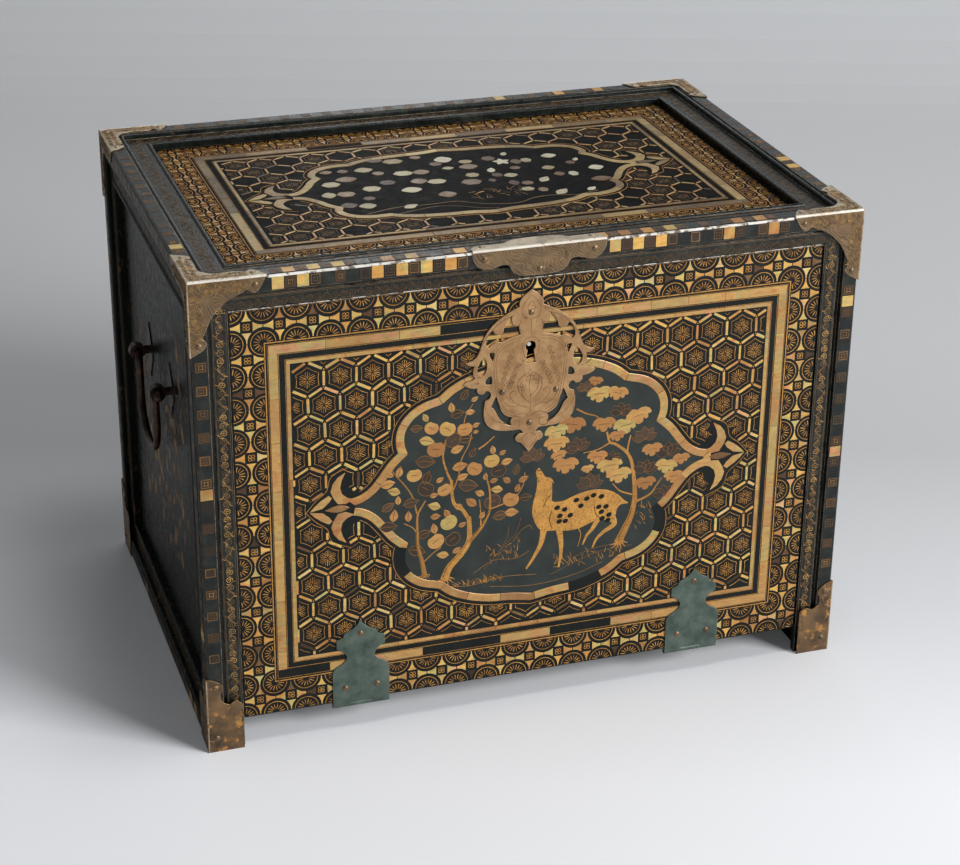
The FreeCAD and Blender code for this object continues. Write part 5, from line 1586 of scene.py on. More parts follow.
@dataclass(kw_only=True)
class BlossomPicture(Pattern):
    """Scattered blossoms and leaves over two hill lines, in pale shell and brown.

    Blossoms are given by place, half width and half height, in the order pale and brown.
    """

    blossoms = (
        ((-63, 40, 6.6, 5), (-38, 52, 7.5, 5.4), (-2, 46, 6.4, 6.2), (-38, 25, 7.2, 5), (-4, 27, 4.2, 3),
         (12, 37, 5, 4), (65, 8, 4.6, 4.2), (8, 8, 5, 4.4), (34, 0, 5, 4), (-93, 16, 6.6, 5.4), (-100, -5, 5, 5.6),
         (-68, 0, 6.6, 5.6), (-42, -10, 7.2, 5.4), (-20, 2, 6.8, 5), (-80, -33, 6, 5.2), (78, -9, 3.6, 4.8),
         (98, -1, 5.4, 5), (36, -31, 4.8, 4), (74, 33, 5.6, 4.4), (55, 28, 4, 4.6)),
        ((-90, 42, 4.4, 3.6), (-50, 57, 6, 4), (-80, 24, 7.6, 5.4), (-55, 30, 4.4, 4), (-25, 24, 6, 5), (-54, 9, 6, 5),
         (-32, 6, 6, 5.4), (-88, -6, 6.6, 5.4), (-92, -29, 6, 5.2), (-75, -19, 4.4, 3.8), (-21, -26, 6.4, 5.8),
         (3, -6, 7.4, 6), (11, 26, 6.8, 5.4), (-10, 38, 4.8, 4), (-20, 56, 4.2, 3.6), (30, 39, 5, 5), (47, 27, 4.2, 5),
         (25, 3, 4, 4.4), (31, -16, 3.8, 5.2), (40, -19, 4.4, 4), (93, -25, 7.4, 5), (46, -35, 3.6, 4.4),
         (-78, 41, 4, 3.6), (42, 14, 4, 3.4), (68, -7, 4, 4), (84, 14, 3.6, 3.6), (18, -7, 2.8, 3.6)),
    )
    # Leaves by place, turn in degrees and length, and one star.
    leaves = ((24, 14, 70, 10), (54, -15, 50, 12), (57, -43, 40, 13), (79, -43, 35, 9), (-52, -42, 25, 12),
              (44, 46, 60, 8), (90, 20, 60, 7))
    star = (37, 30, 6.6)
    hills = (((-84, -48), (-60, -41), (-40, -42), (-20, -41), (-10, -47), (0, -52), (20, -56), (35, -49), (50, -48),
              (65, -52), (82, -47)),
             ((-70, -56), (-50, -50), (-35, -47), (-20, -51), (-8, -58), (5, -62)))

    def build(self) -> None:
        """Build the blossoms, stems and hills."""
        pale = self.inlay("_blossoms", Finish.PALE_SHELL)
        gold = self.inlay("_picture_lines", Finish.FAINT_GOLD)
        for rows, (low, high) in zip(self.blossoms, ((0.45, 1.0), (0.0, 0.34))):
            values = np.array(rows, float)
            for lobes in (4, 6):
                chosen = values[(np.arange(len(values)) % 2 == 0) == (lobes == 4)]
                shape = lobed_disc(lobes, 0.07, 18) * 1.04
                outlines = chosen[:, None, :2] + shape * chosen[:, None, 2:]
                pale.slabs(outlines, SHELL_HIGH, self.rng.uniform(low, high, len(chosen)))
        values = np.array(self.leaves, float)
        outlines = turned(pointed_leaf(0.6) - [0.5, 0], values[:, :2], np.radians(values[:, 2]), values[:, 3])
        pale.slabs(outlines, SHELL_HIGH, self.rng.uniform(0.7, 1.0, len(values)))
        x, y, size = self.star
        pale.slabs(turned(lobed_disc(5, 0.3, 20), np.array([[x, y]]), 0.3, size), SHELL_HIGH, 0.95)
        for hill, width, shade in zip(self.hills, (0.9, 0.8), (0.5, 0.3)):
            gold.strokes(flow(hill, 40)[None], width, GOLD_HIGH, shade)
        roots = pairs(self.rng.uniform(-4, 34, 26), self.rng.uniform(-44, -24, 26))
        blade = np.array([(0, 0), (0.5, 0.08), (1.0, 0.3)])
        blades = turned(blade, roots, self.rng.normal(pi / 2, 0.7, len(roots)), self.rng.uniform(4, 9, len(roots)))
        gold.strokes(blades, np.array([0.7, 0.5, 0.2]), GOLD_HIGH, self.rng.uniform(0.3, 1.0, len(roots)))
        pale.build()
        gold.build()


# Frames, sides and inner fronts


def front(node: str) -> tuple[Face, Pair]:
    """Front of a CAD node's box.

    Args:
        node: name of the node.

    Returns:
        The face, and its half sizes in millimetres.
    """
    low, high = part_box(node)
    face = Face(((low.x + high.x) / 2, low.y, (low.z + high.z) / 2))
    return face, ((high.x - low.x) / 2 / MM, (high.z - low.z) / 2 / MM)


@dataclass(frozen=True)
class Vine:
    """Waving stem with a curl in each bend and short leaves along it."""

    period: float  # length of one wave
    height: float  # height of the wave
    curl: float  # radius of a curl
    width: float
    leaf: float = 0.0  # length of a leaf, or nothing for none

    # Height of its lines.
    high = 0.08

    def lay(self, inlay: Inlay, start: Sequence[float], end: Sequence[float], rng: Rng,
            clear: float = 1.0) -> None:
        """Lay the vine from one point to another.

        The stem is a sine, and each curl a spiral whose radius falls with its angle.

        Args:
            inlay: piece that gathers the lines.
            start: where it begins.
            end: where it ends.
            rng: source of the shades.
            clear: share of the shades that is left.
        """
        first, last = np.array(start, float), np.array(end, float)
        length = float(np.linalg.norm(last - first))
        angle = np.arctan2(*(last - first)[::-1])
        waves = max(1, round(length / self.period))
        along = np.linspace(0, length, waves * 12 + 1)
        stem = pairs(along, self.height * np.sin(2 * pi * waves * along / length))
        inlay.strokes(turned(stem, first[None], angle, 1.0), self.width, self.high, 0.6 * clear)
        turn = np.linspace(0, 3.1 * pi, 18)
        radius = self.curl * (1 - 0.85 * turn / turn[-1])
        spiral = polar(radius, turn)
        bend = (np.arange(2 * waves) + 0.5) * length / (2 * waves)
        for side in (0, 1):
            sign = 1 - 2 * side
            local = pairs(bend[side::2], np.full(waves, -0.25 * sign * self.height))
            places = turned(local, first[None], angle, 1.0)[0]
            curls = turned(spiral * [1, -sign], places, angle + pi / 2 * sign, 1.0)
            inlay.strokes(curls, self.width * 0.9, self.high, clear * rng.uniform(0.1, 1.0, len(curls)))
        if self.leaf:
            local = stem[2::2].copy()
            local[:, 1] += 0.5 * self.leaf * rng.choice((-1, 1), len(local))
            places = turned(local, first[None], angle, 1.0)[0]
            blade = np.array([(-0.5, 0), (0, 0.16), (0.5, 0)])
            blades = turned(blade, places, angle + rng.normal(0.9, 0.5, len(places)), self.leaf)
            inlay.strokes(blades, self.width, self.high, clear * rng.uniform(0.1, 1.0, len(places)))


@dataclass(kw_only=True)
class FaceFrame(Pattern):
    """Dress of one face's frame: shell checks on its rim and a gold vine in its band."""

    foot_gap: Pair = (26.0, 60.0)  # stretch at the lower corners that the mounts cover, along and up
    corner_gap: float = 53.0  # stretch at the upper corners that the mounts cover
    band: float  # distance of the band's middle from the edge
    band_depth: float  # how far the band lies below the rim
    vine: Vine
    runs: tuple[int, ...] = (0, 1, 2, 3)  # sides that are dressed: bottom, right, top and left
    bright: tuple[float, float, float, float]  # share of checks that keep their shell, for the same sides
    middle_gap: float = 0.0  # half of a stretch left bare in the middle of the top
    shifted: bool = False  # whether the checks begin with a dark one
    clear: tuple[float, float, float, float] = (0.5, 0.5, 0.5, 0.5)  # how clear the vine is on each side, from 0 to 1
    rim_middle: float = 6.0  # distance of the checks' middle from the edge
    check: float = 8.2  # side of a check
    border: float = 4.3  # distance of the lines from the vine's middle

    def stretches(self) -> list[tuple[int, float, float]]:
        """Side numbers with the start and end of each stretch of checks.

        Returns:
            Rows of side, start and end.
        """
        across, up = self.half
        foot, top, rise = across - self.foot_gap[0], across - self.corner_gap, up - self.corner_gap
        upright = [(-up + self.foot_gap[1], rise)]
        over = [(-top, -self.middle_gap), (self.middle_gap, top)] if self.middle_gap else [(-top, top)]
        spans = ([(-foot, foot)], upright, over, upright)
        return [(side, *span) for side in self.runs for span in spans[side]]

    def point(self, side: int, along: Any, inset: float) -> Array:
        """Points at a distance in from a side, at places along it.

        Args:
            side: number of the side.
            along: places along it.
            inset: distance in from it.

        Returns:
            The points.
        """
        place = np.asarray(along, float)
        level = np.full_like(place, self.half[1 - side % 2] - inset) * (1 if side in (1, 2) else -1)
        return np.stack([level, place] if side % 2 else [place, level], -1)

    def checks(self, shell: Inlay, lines: Inlay) -> None:
        """Shell checks where they are kept, and between them brown ones with a gold square and a flower.

        Args:
            shell: piece that gathers the checks.
            lines: piece that gathers the lines.
        """
        for side, start, end in self.stretches():
            count = max(1, round((end - start) / (2 * self.check)))
            step = (end - start) / (2 * count)
            order = (1.5, 0.5) if self.shifted else (0.5, 1.5)
            places, between = (self.point(side, start + step * (2 * np.arange(count) + shift), self.rim_middle)
                               for shift in order)
            size = np.array([step - 0.4, self.check])[::1 - 2 * (side % 2)]
            kept = self.rng.random(count) < self.bright[side]
            check = rectangle(*(size / 2))
            shell.slabs(places[kept][:, None] + check, GOLD_HIGH, self.rng.uniform(0.28, 0.72, kept.sum()), 0.04)
            shell.slabs(between[:, None] + check * 0.94, 0.05, self.rng.uniform(0.0, 0.06, count), 0.04)
            square = between[:, None] + rectangle(*(size / 2 - 1.0))
            lines.strokes(square, 0.4, 0.12, self.rng.uniform(0.1, 0.8, count), True)
            flower = turned(lobed_disc(4, 0.4, 12), between, pi / 4, 0.26 * self.check)
            lines.strokes(flower, 0.36, 0.12, self.rng.uniform(0.2, 0.9, count), True)

    def build(self) -> None:
        """Build the checks, and the vine between two lines."""
        shell = self.inlay("_checks", Finish.SHELL)
        faint = self.inlay("_squares", Finish.FAINT_GOLD)
        vine = self.inlay("_vine", Finish.FAINT_GOLD)
        vine.face = self.face.sunk(self.band_depth)
        self.checks(shell, faint)
        for side in self.runs:
            length = self.half[side % 2]
            reach = length - self.band
            ends = self.point(side, np.array([-reach, reach]), self.band)
            self.vine.lay(vine, ends[0], ends[1], self.rng, self.clear[side])
            for inset in (self.band - self.border, self.band + self.border):
                along = np.linspace(inset - length, length - inset, 3)
                vine.strokes(self.point(side, along, inset)[None], 0.4, 0.07, 0.35)
        for piece in (shell, faint, vine):
            piece.build()


@dataclass(kw_only=True)
class PlainPanel(Pattern):
    """Worn panel with a triple line round it and a few rubbed leaves."""

    leaves: int = 190  # number of leaves tried
    bare: Pair = (66.0, 24.0)  # half width and foot of the upper middle, which has no leaves
    margin: float = 14.0  # distance of the leaves from the outer line
    sizes: Pair = (8.0, 16.0)  # least and greatest length of a leaf

    def build(self) -> None:
        """Build the lines, and leaves everywhere but in the upper middle."""
        lines = self.inlay("", Finish.FAINT_GOLD)
        lines.boxes(self.half, ((0.0, 0.8), (3.2, 0.5), (5.6, 0.5)), 0.05, 0.1)
        places = self.rng.uniform(-1, 1, (self.leaves, 2)) * (np.array(self.half) - self.margin)
        places = places[(np.abs(places[:, 0]) > self.bare[0]) | (places[:, 1] < self.bare[1])]
        sizes = self.rng.uniform(*self.sizes, len(places))
        leaves = turned(pointed_leaf(0.42), places, self.rng.normal(pi / 2, 0.4, len(places)), sizes)
        lines.slabs(leaves, 0.05, self.rng.uniform(0.2, 0.8, len(places)))
        lines.build()


@dataclass(kw_only=True)
class DrawerFront(Pattern):
    """Dress of one drawer's front: a gold line, a thin shell frame and a vine."""

    strip: tuple[float, float, float] = (6.4, 3.2, 16.0)  # inset, width and piece length of the shell frame
    margin: float = 15.0  # distance of the vine from the front's ends
    tall: float = 45.0  # half height from which a front has two vines
    vine: Vine = Vine(30.0, 6.5, 5.6, 0.7)

    def build(self) -> None:
        """Build the front's line, frame and vine."""
        gold = self.inlay("_gold", Finish.GOLD)
        gold.boxes(self.half, ((3.0, 0.6), (10.0, 0.4)), GOLD_HIGH, 0.6)
        inset, width, length = self.strip
        place = self.part("_frame", (self.half[0] - inset, self.half[1] - inset))
        StripFrame(**place, width=width, length=length).build()
        reach = self.half[0] - self.margin
        rows = (-0.24, 0.24) if self.half[1] > self.tall else (0.0,)
        for row in rows:
            level = row * self.half[1] * 2
            self.vine.lay(gold, (-reach, level), (reach, level), self.rng)
        gold.build()


@dataclass(kw_only=True)
class DoorInside(Pattern):
    """Inner face of the door: gold lines, and vines with rows of blossoms between them."""

    vine: Vine = Vine(64.0, 15.0, 11.0, 0.9)
    reach: float = 170.0  # half length of a vine
    levels: tuple[float, ...] = (-92.0, -36.0, 20.0)  # heights of the vines
    blossom: float = 6.5  # radius of a blossom

    def build(self) -> None:
        """Build the lines, the vines and the blossoms."""
        gold = self.inlay("_gold", Finish.GOLD)
        gold.boxes(self.half, ((14.0, 0.9), (18.0, 0.4)), GOLD_HIGH, 0.6)
        for level in self.levels:
            self.vine.lay(gold, (-self.reach, level), (self.reach, level), self.rng)
        between = (np.array(self.levels[1:]) + self.levels[:-1]) / 2
        places = np.stack(np.meshgrid(np.linspace(-144, 144, 10), between), -1).reshape(-1, 2)
        blossoms = turned(lobed_disc(5, 0.28, 20), places, self.rng.uniform(0, pi, len(places)), self.blossom)
        gold.slabs(blossoms, 0.12, self.rng.uniform(0.4, 1, len(places)))
        gold.build()


# Metal


class LockPlateLines:
    """Engraved lines of the lock plate: a shield, scrolls and a flowering plant, from the plate's foot upwards."""

    # Lines of the right half, and then lines in the middle.
    sides = (
        ((7, 84), (16, 82), (23, 77), (25.5, 69), (25, 59), (24, 49), (22, 39), (18, 32), (12, 28), (6, 26.5)),
        ((7, 82), (15.4, 80.2), (21.8, 75.6), (24, 68.6), (23.5, 59), (22.4, 49.4), (20.6, 40), (16.8, 33.4),
         (11, 29.8)),
        ((3.6, 68), (5, 73), (5.8, 77.5), (4.2, 82), (0.2, 83.6)),
        ((0.2, 113), (4, 109), (6.6, 103), (5, 98), (1, 96.4)),
        ((0.4, 109), (2.6, 104.5), (0.4, 99.5)),
        ((12, 100), (20, 97), (28, 90), (34, 81), (37.5, 73)),
        ((1, 27), (6, 29.2), (12, 27), (14, 22.5), (11, 18.5), (7, 20), (7.5, 24), (10.5, 24.2)),
        ((17, 23), (24, 26), (30, 33), (32, 41)),
        ((0.2, 2.6), (4, 7), (5, 11), (0.6, 14.4)),
        ((2, 33), (7, 35), (12, 39), (14, 44), (11, 46), (9, 43)),
        ((8, 35), (13, 35), (18, 39), (19.6, 45)),
        ((4, 40), (8, 46), (8, 53), (4, 57)),
        ((7, 88), (8.4, 92), (6.8, 96)),
        ((32, 60), (36, 59), (40, 60), (43.5, 63)),
    )
    middle = (((0, 86), (0.3, 91), (0, 97)), ((0, 28), (0.8, 38), (-0.6, 47), (0, 55)), ((0, 36), (-5, 41), (-6, 47)),
              ((0, 41), (5, 46), (6, 51)))
    flowers = ((0, 56, 4.4), (-6, 48, 3.4), (6, 52, 3.4), (-14, 52, 3.0), (14, 55, 3.0))
    scrolls = (((-21, 46), (-13, 76)), ((21, 46), (13, 76)), ((-15.5, 48), (-8, 66)), ((15.5, 48), (8, 66)))
    scroll = Vine(7.0, 1.7, 1.9, 0.2)
    # Height and shade of the lines.
    cut = (0.02, 0.4)

    def build(self) -> None:
        """Build the engraved lines."""
        rng = default_rng(4)
        low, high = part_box("lock_plate")
        face = Face(((low.x + high.x) / 2, low.y, low.z))
        lines = Inlay("lock_plate_lines", "door", Finish.ENGRAVED, face)
        for line in self.sides:
            path = flow(line, 18)
            lines.strokes(np.stack([path, path * [-1, 1]]), 0.36, *self.cut)
        lines.strokes(np.stack([flow(line, 10) for line in self.middle]), 0.34, *self.cut)
        petal = flow(((0, 0), (0.5, 0.25), (1, 0), (0.5, -0.25), (0, 0)), 13)
        for x, y, size in self.flowers:
            spread = np.linspace(0, 2 * pi, 5, endpoint=False) + pi / 2
            lines.strokes(turned(petal, np.repeat([[x, y]], 5, axis=0), spread, size), 0.26, *self.cut)
        for start, end in self.scrolls:
            self.scroll.lay(lines, start, end, rng)
        lines.build()


@dataclass
class MountLines:
    """Chased lines on the sheet mounts: two vines along each arm."""

    arm: float = 40.0  # length of an arm that takes a vine
    levels: Pair = (3.4, 7.6)  # distances of the two vines from the edge
    vine: Vine = Vine(6.4, 1.5, 1.7, 0.3, 2.4)

    def build(self) -> None:
        """Build the lines on every wing of the top corner mounts, each wing seen from outside."""
        rng = default_rng(5)
        cut = Inlay("mount_lines", "carcass", Finish.FAINT_GOLD)
        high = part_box("corner_mounts_top_back")[1]
        for sx, sy in product((-1, 1), repeat=2):
            corner = (sx * high.x, sy * high.y, high.z)
            inward, backward, down = (-sx, 0, 0), (0, -sy, 0), (0, 0, -1)
            for first, second in ((inward, down), (backward, down), (inward, backward)):
                outward = np.dot(np.cross(first, second), (sx, sy, 1)) > 0
                cut.face = Face(corner, first, second) if outward else Face(corner, second, first)
                for level in self.levels:
                    for end in ((self.arm, level), (level, self.arm)):
                        self.vine.lay(cut, (level, level), end, rng)
        cut.build()


@dataclass
class RubbedEdgeHighlights:
    """Pale bars on the corners of the mounts and the front rail: painted highlights, partly rubbed wear."""

    radius: float = 1.0  # radius of the front rail's rounding in millimetres
    thin: float = 0.6  # radius of the other edges' rounding
    depth: float = 0.7  # distance of the middle line in from both faces, as a share of the radius
    arm: float = 50.0  # length of a mount's arm
    foot: float = 56.0  # height of a foot mount
    line: float = 0.8  # width of the painted highlight line along the door's top

    def corners(self, copper: Inlay, worn: Inlay) -> None:
        """Painted highlight bars along the mounts' arms, and down the corners and feet.

        Args:
            copper: bright highlight bars.
            worn: duller highlight bars.
        """
        high = np.array(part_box("corner_mounts_top_back")[1])
        for sx, sy in product((-1, 1), repeat=2):
            corner = (high - self.thin * self.depth * MM) * [sx, sy, 1]
            starts = np.array([corner, corner, corner * [1, 1, 0]])
            steps = np.array([(0, -sy * self.arm, 0), (0, 0, -self.arm), (0, 0, self.foot)])
            worn.rods(starts, starts + steps * MM, self.thin, 0.5)
            corner = (high - self.radius * self.depth * MM) * [sx, sy, 1]
            copper.rods(corner[None], corner[None] - [[sx * self.arm * MM, 0, 0]], self.radius, 0.5)

    def rail(self, copper: Inlay, wood: Inlay) -> None:
        """Painted highlight bars along the strike plate and along the rail on both sides of it.

        Args:
            copper: highlight bars on the metal.
            wood: highlight bars on the lacquer.
        """
        inset = self.radius * self.depth * MM
        (low, high), (near, far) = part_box("front_frame"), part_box("strike_plate")
        plate = np.array([[x, near.y + inset, far.z - inset] for x in (near.x, far.x)])
        copper.rods(plate[:1], plate[1:], self.radius, 0.5)
        reach = high.x - self.arm * MM
        starts, ends = (np.array([[x, low.y + inset, high.z - inset] for x in places])
                        for places in ((-reach, far.x), (near.x, reach)))
        wood.rods(starts, ends, self.radius, 0.5)

    def build(self) -> None:
        """Build the highlight bars, and the painted highlight line along the door's top."""
        copper = Inlay("mount_edge_highlights", "carcass", Finish.RUBBED)
        worn = Inlay("mount_corner_highlights", "carcass", Finish.WORN_EDGE_HIGHLIGHT)
        wood = Inlay("rail_edge_highlight", "carcass", Finish.RUBBED_LACQUER)
        self.corners(copper, worn)
        self.rail(copper, wood)
        low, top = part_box("door_panel")
        face = Face((0.0, low.y, top.z))
        line = Inlay("door_top_highlight", "door", Finish.RUBBED_LACQUER, face)
        path = [(x / MM, -self.line / 2) for x in (low.x, 0.0, top.x)]
        line.strokes(np.array([path]), self.line, 0.12, 0.5)
        for piece in (copper, worn, wood, line):
            piece.build()


@dataclass
class Dress:
    """Finish of the CAD nodes, by the words in their names."""

    # Words and the finish that they give. The first rule that fits holds.
    rules: tuple[tuple[tuple[str, ...], Finish], ...] = (
        (("door_panel",), Finish.LACQUER),
        (("top_board",), Finish.TOP_LACQUER),
        (("front_frame", "top_frame"), Finish.FRAME),
        (("side_board", "back_board", "left_frame", "right_frame", "back_frame"), Finish.SIDE),
        (("lock_plate", "knob"), Finish.GILT),
        (("corner_mounts_foot",), Finish.FOOT_MOUNT),
        (("corner_mounts", "strike_plate", "nails"), Finish.MOUNT),
        (("leaf",), Finish.PATINA),
        (("lock_case",), Finish.LOCK_IRON_SHADE),
        (("drill_pin",), Finish.STEEL),
        (("bolt", "pin", "posts", "backplates", "bail"), Finish.IRON),
        (("",), Finish.INNER),
    )

    def build(self) -> None:
        """Give each node its finish."""
        for name, node in frame["nodes"].items():
            finish = next(finish for words, finish in self.rules if any(word in name for word in words))
            node.data.materials.clear()
            node.data.materials.append(finish.material())
            LOG.info("%s is dressed in %s", name, finish.value.name)


# Stage, lights and camera


@dataclass
class Studio:
    """Pale sweep, soft lights and the camera."""

    eye: Vec = (-0.4713, -1.4533, 0.86265)  # place of the camera in metres
    right: Vec = (0.95, -0.31212, 0.00892)  # camera's right
    top: Vec = (0.12637, 0.41045, 0.90308)  # camera's up
    back: Vec = (-0.28553, -0.8568, 0.42937)  # direction from the object to the camera
    lens: float = 85.75
    paper_glow: float = 0.05  # painted light: glow of the paper as a share of its tone, for camera rays only
    paper_span: Pair = (-0.5, 1.5)  # distances behind the object between which the paper's tone changes
    # Tones of the paper over that span: painted light and shade, palest in front, darkest just behind the object.
    paper: tuple[Stop, ...] = (
        (0.0, (241, 243, 246)), (0.12, (238, 240, 244)), (0.25, (212, 214, 217)), (0.38, (190, 191, 193)),
        (0.5, (196, 197, 199)), (0.75, (199, 200, 202)), (1.0, (200, 202, 204)))
    # Where the paper begins, where its bend begins, the bend's radius, the height above it and half its width, in
    # metres.
    run: tuple[float, float, float, float, float] = (-4.0, 1.2, 0.9, 2.4, 4.5)
    # Name, place, size in metres and power in watts of each light.
    lamps: tuple[tuple[str, Vec, float, float], ...] = (
        ("key", (2.5, -2.7, 1.75), 1.7, 185.0), ("overhead", (0.2, -0.3, 2.1), 0.5, 9.0),
        ("rear", (0.4, 1.7, 1.05), 0.35, 1.0))
    aim: Vec = (0.0, 0.0, 0.17)  # point that the lights face

    def turn(self, thing: bpy.types.Object, axes: Sequence[Sequence[float]], place: Vec) -> None:
        """Give an object its axes (right, up and back) and its place."""
        rows = [(*parts, spot) for *parts, spot in zip(*axes, place)]
        thing.matrix_world = Matrix((*rows, (0, 0, 0, 1)))

    def sweep(self) -> None:
        """Floor that bends up into a backdrop: a line, a quarter circle and a line, carried across the view."""
        begin, floor_end, bend, rise, half = self.run
        angle = np.linspace(0, pi / 2, 24)[1:-1]
        depth = np.r_[begin, floor_end, floor_end + bend * np.sin(angle), floor_end + bend, floor_end + bend]
        level = np.r_[0, 0, bend * (1 - np.cos(angle)), bend, bend + rise]
        away = -np.array([self.back[0], self.back[1]])
        away /= np.linalg.norm(away)
        side = np.array([away[1], -away[0]])
        across = np.array([-half, half])[None, :, None]
        ground = depth[:, None, None] * away + across * side
        points = np.concatenate([ground, np.broadcast_to(level[:, None, None] - 0.0002, (len(depth), 2, 1))], -1)
        rows = 2 * np.arange(len(depth) - 1)[:, None]
        mesh = bpy.data.meshes.new("sweep")
        mesh.from_pydata(points.reshape(-1, 3).tolist(), [], (rows + [0, 1, 3, 2]).tolist())
        recipe = Recipe("paper_sweep_painted_light")
        far = recipe.node("ShaderNodeVectorMath", {"operation": "DOT_PRODUCT"})
        recipe.feed(far.inputs[0], recipe.place)
        recipe.feed(far.inputs[1], (*map(float, away), 0.55))
        # Painted light and shade: the paper's tone falls from pale in front to darkest just behind the object.
        tone = recipe.ramp(recipe.level(far.outputs["Value"], *self.paper_span), self.paper)
        # Painted light: the paper glows, seen by the camera only.
        seen = recipe.node("ShaderNodeLightPath").outputs["Is Camera Ray"]
        painted_glow = recipe.times(seen, self.paper_glow)
        recipe.set(Base_Color=tone, Roughness=0.9, Emission_Color=tone, Emission_Strength=painted_glow)
        recipe.bump(recipe.noise(240.0, 3.0), 0.05, 0.2)
        mesh.materials.append(recipe.material)
        placed("sweep", mesh)

    def lamp(self, name: str, place: Vec, size: float, power: float) -> None:
        """Square soft light that faces the cabinet.

        Args:
            name: name of the light.
            place: its middle in metres.
            size: its side in metres.
            power: its power in watts.
        """
        light = bpy.data.lights.new(name, "AREA")
        light.size = size
        light.energy = power
        away = np.array(place) - np.array(self.aim)
        away /= np.linalg.norm(away)
        side = np.cross((0.0, 0.0, 1.0), away)
        side /= np.linalg.norm(side)
        self.turn(placed(name, light), (side, np.cross(away, side), away), place)

    def world(self) -> None:
        """Even grey light all round."""
        world = bpy.data.worlds.new("room")
        world.use_nodes = True
        shade = world.node_tree.nodes["Background"]
        shade.inputs["Color"].default_value = (0.97, 0.985, 1.0, 1.0)
        shade.inputs["Strength"].default_value = 0.15
        bpy.context.scene.world = world

    def camera(self) -> None:
        """Camera at the photograph's place."""
        data = bpy.data.cameras.new("camera")
        data.lens = self.lens
        data.sensor_width = 36.0
        data.clip_start = 0.05
        camera = placed("camera", data)
        self.turn(camera, (self.right, self.top, self.back), self.eye)
        bpy.context.scene.camera = camera

    def build(self) -> None:
        """Set the stage."""
        self.sweep()
        self.world()
        for lamp in self.lamps:
            self.lamp(*lamp)
        self.camera()
        bpy.context.scene.view_settings.view_transform = "Standard"


class Side(Enum):
    """Faces of the wooden body: directions out of it, across it and up it."""

    LEFT = ((-1, 0, 0), (0, -1, 0), (0, 0, 1))
    RIGHT = ((1, 0, 0), (0, 1, 0), (0, 0, 1))
    BACK = ((0, 1, 0), (-1, 0, 0), (0, 0, 1))
    TOP = ((0, 0, 1), (1, 0, 0), (0, 1, 0))
    FRONT = ((0, -1, 0), (1, 0, 0), (0, 0, 1))


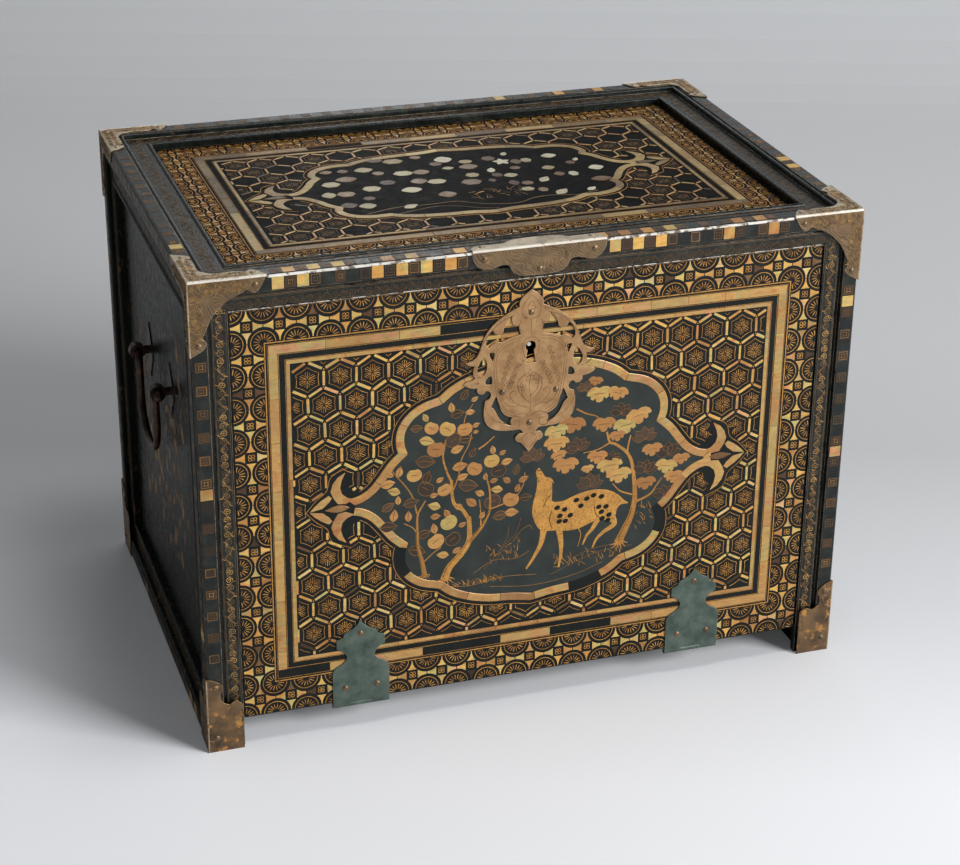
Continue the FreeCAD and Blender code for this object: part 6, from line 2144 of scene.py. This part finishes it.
@dataclass
class Cabinet:
    """The whole cabinet: its faces, and all that dresses them."""

    half: Vec = (230.0, 157.5, 170.5)  # half width, half depth and half height of the wooden body in millimetres
    relief: float = 8.0  # how far the rims stand above the panels
    band_level: float = 4.0  # height of the sunk band above the panels
    strip_level: float = 5.2  # height of the front strips above the panels
    frame_width: float = 32.0
    panel: Vec = (92.0, 164.0, 106.0)  # half width of a side's and of the back's lines, and their half height

    def outer(self, side: Side, inset: float = 0.0) -> Face:
        """Face of the wooden body, or a plane set in from it.

        Args:
            side: which face.
            inset: distance in from it, in millimetres.

        Returns:
            The plane.
        """
        out, across, up = side.value
        place = np.array(out) * (np.array(self.half) - inset) + [0, 0, self.half[2]]
        return Face(tuple(place * MM), across, up)

    def door_panel(self) -> None:
        """Door front with its picture."""
        face, half = front("door_panel")
        place = {"body": "door", "face": face, "rng": default_rng(7)}
        medallion = Medallion(**place, name="door_medallion", strip=6.8, lost=(16, 22, 25), runs=(
            ((127.5, 3.3), (120, 5.2), (112, 10.5), (105, 19.0), (99, 27.0), (91.5, 34.0)),
            ((91.5, 34.0), (93.4, 41.0), (92.6, 50.0), (87.6, 58.5), (78.5, 65.2), (65.5, 69.0)),
            ((65.5, 69.0), (56.5, 76.0), (44.0, 81.6), (30.0, 85.0), (15.0, 86.4), (0, 89.0))))
        (low, high), (near, far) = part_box("door_panel"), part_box("drill_pin")
        keyhole = ((near.x + far.x) / 2 / MM, ((near.z + far.z) - (low.z + high.z)) / 2 / MM)
        InlaidPanel(**place, name="door", half=half, hole=keyhole, edge=0.4, extra=2.3,
                    insets=(21.6, 22.2, 24.4, 30.4, 35.6, 38.2, 38.6), cells=(18, 12), flat=21.6, medallion=medallion,
                    lost=((2, 0.56, 0.68), (2, 0.0, 0.05), (0, 0.02, 0.08), (0, 0.31, 0.4), (0, 0.54, 0.64))).build()
        DeerPicture(name="picture", body="door", face=face, rng=default_rng(31), medallion=medallion, seed=31).build()

    def top_panel(self) -> None:
        """Top panel with its picture."""
        face = Face((0.0, 0.0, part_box("top_board")[1].z), (1, 0, 0), (0, 1, 0))
        half = (self.half[0] - self.frame_width, self.half[1] - self.frame_width)
        rng = default_rng(9)
        medallion = Medallion(name="top_medallion", face=face, rng=rng, strip=6.4, shell=Finish.DULL_SHELL, runs=(
            ((127.0, 3.3), (120, 5.0), (114, 10.0), (109, 17.5), (105, 25.0), (99.5, 31.5)),
            ((99.5, 31.5), (101.5, 37.5), (98.5, 45.5), (91.5, 51.2), (81.5, 54.2), (70.0, 54.0)),
            ((70.0, 54.0), (60.5, 59.0), (46.0, 62.4), (30.0, 64.0), (15.0, 64.8), (0, 67.5))))
        InlaidPanel(name="top", face=face, rng=rng, half=half, shell=Finish.STRIP_SHELL, faded=0.6, edge=2.5,
                    insets=(21.6, 22.6, 25.0, 31.0, 36.6, 38.8, 40.0), cells=(20, 12), flat=19.4, medallion=medallion,
                    lost=((2, 0.7, 0.78),)).build()
        BlossomPicture(name="top", face=face, rng=default_rng(12)).build()

    def frames(self) -> None:
        """Frames of the five faces."""
        x, y, z = self.half
        wide, narrow = Vine(16.0, 2.8, 3.0, 0.45, 3.0), Vine(11.0, 2.2, 2.3, 0.6, 2.4)
        low, top = (26.0, 60.0), (53.0, 53.0)
        faces = ((Side.LEFT, (y, z), low, (0.1,) * 4), (Side.RIGHT, (y, z), low, (0.2,) * 4),
                 (Side.BACK, (x, z), low, (0.2,) * 4), (Side.TOP, (x, y), top, (0.7, 0.25, 0.15, 0.2)))
        for seed, (side, half, foot, bright) in enumerate(faces, 40):
            FaceFrame(name=side.name.lower() + "_frame", face=self.outer(side), half=half, rng=default_rng(seed),
                      foot_gap=foot, band=21.8, band_depth=self.relief - self.band_level, vine=wide, bright=bright,
                      shifted=True).build()
        FaceFrame(name="front_frame", face=self.outer(Side.FRONT), half=(x, z), rng=default_rng(50), band=19.3,
                  band_depth=self.relief - self.strip_level, vine=narrow, runs=(1, 2, 3),
                  bright=(0.0, 0.18, 0.78, 0.05), middle_gap=48.0, clear=(0.0, 1.0, 0.15, 1.0)).build()

    def plain_panels(self) -> None:
        """Left, right and back panels."""
        narrow, wide, high = self.panel
        for seed, (side, across) in enumerate(((Side.LEFT, narrow), (Side.RIGHT, narrow), (Side.BACK, wide)), 61):
            PlainPanel(name=side.name.lower() + "_panel_lines", face=self.outer(side, self.relief),
                       half=(across, high), rng=default_rng(seed)).build()

    def drawers(self) -> None:
        """Fronts of the drawers."""
        for body, members in frame["record"]["behaviour"]["bodies"].items():
            for seed, node in enumerate(members, 80 + len(body)):
                if node.startswith("drawer_"):
                    face, half = front(node)
                    DrawerFront(name=node, body=body, face=face, rng=default_rng(seed), half=half).build()

    def door_inside(self) -> None:
        """Inner face of the door."""
        low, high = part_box("door_panel")
        face = Face((0.0, high.y, (low.z + high.z) / 2), (-1, 0, 0), (0, 0, 1))
        half = front("door_panel")[1]
        DoorInside(name="door_inside", body="door", face=face, rng=default_rng(71), half=half).build()

    def build(self) -> None:
        """Build the cabinet's dress in order, from the CAD nodes to the metal."""
        Dress().build()
        self.door_panel()
        self.top_panel()
        self.frames()
        self.plain_panels()
        self.drawers()
        self.door_inside()
        LockPlateLines().build()
        MountLines().build()
        RubbedEdgeHighlights().build()


def main() -> None:
    """Build the cabinet and its stage."""
    logging.basicConfig(level=logging.INFO, format="%(name)s: %(message)s")
    Cabinet().build()
    Studio().build()


if __name__ == "__main__":
    main()
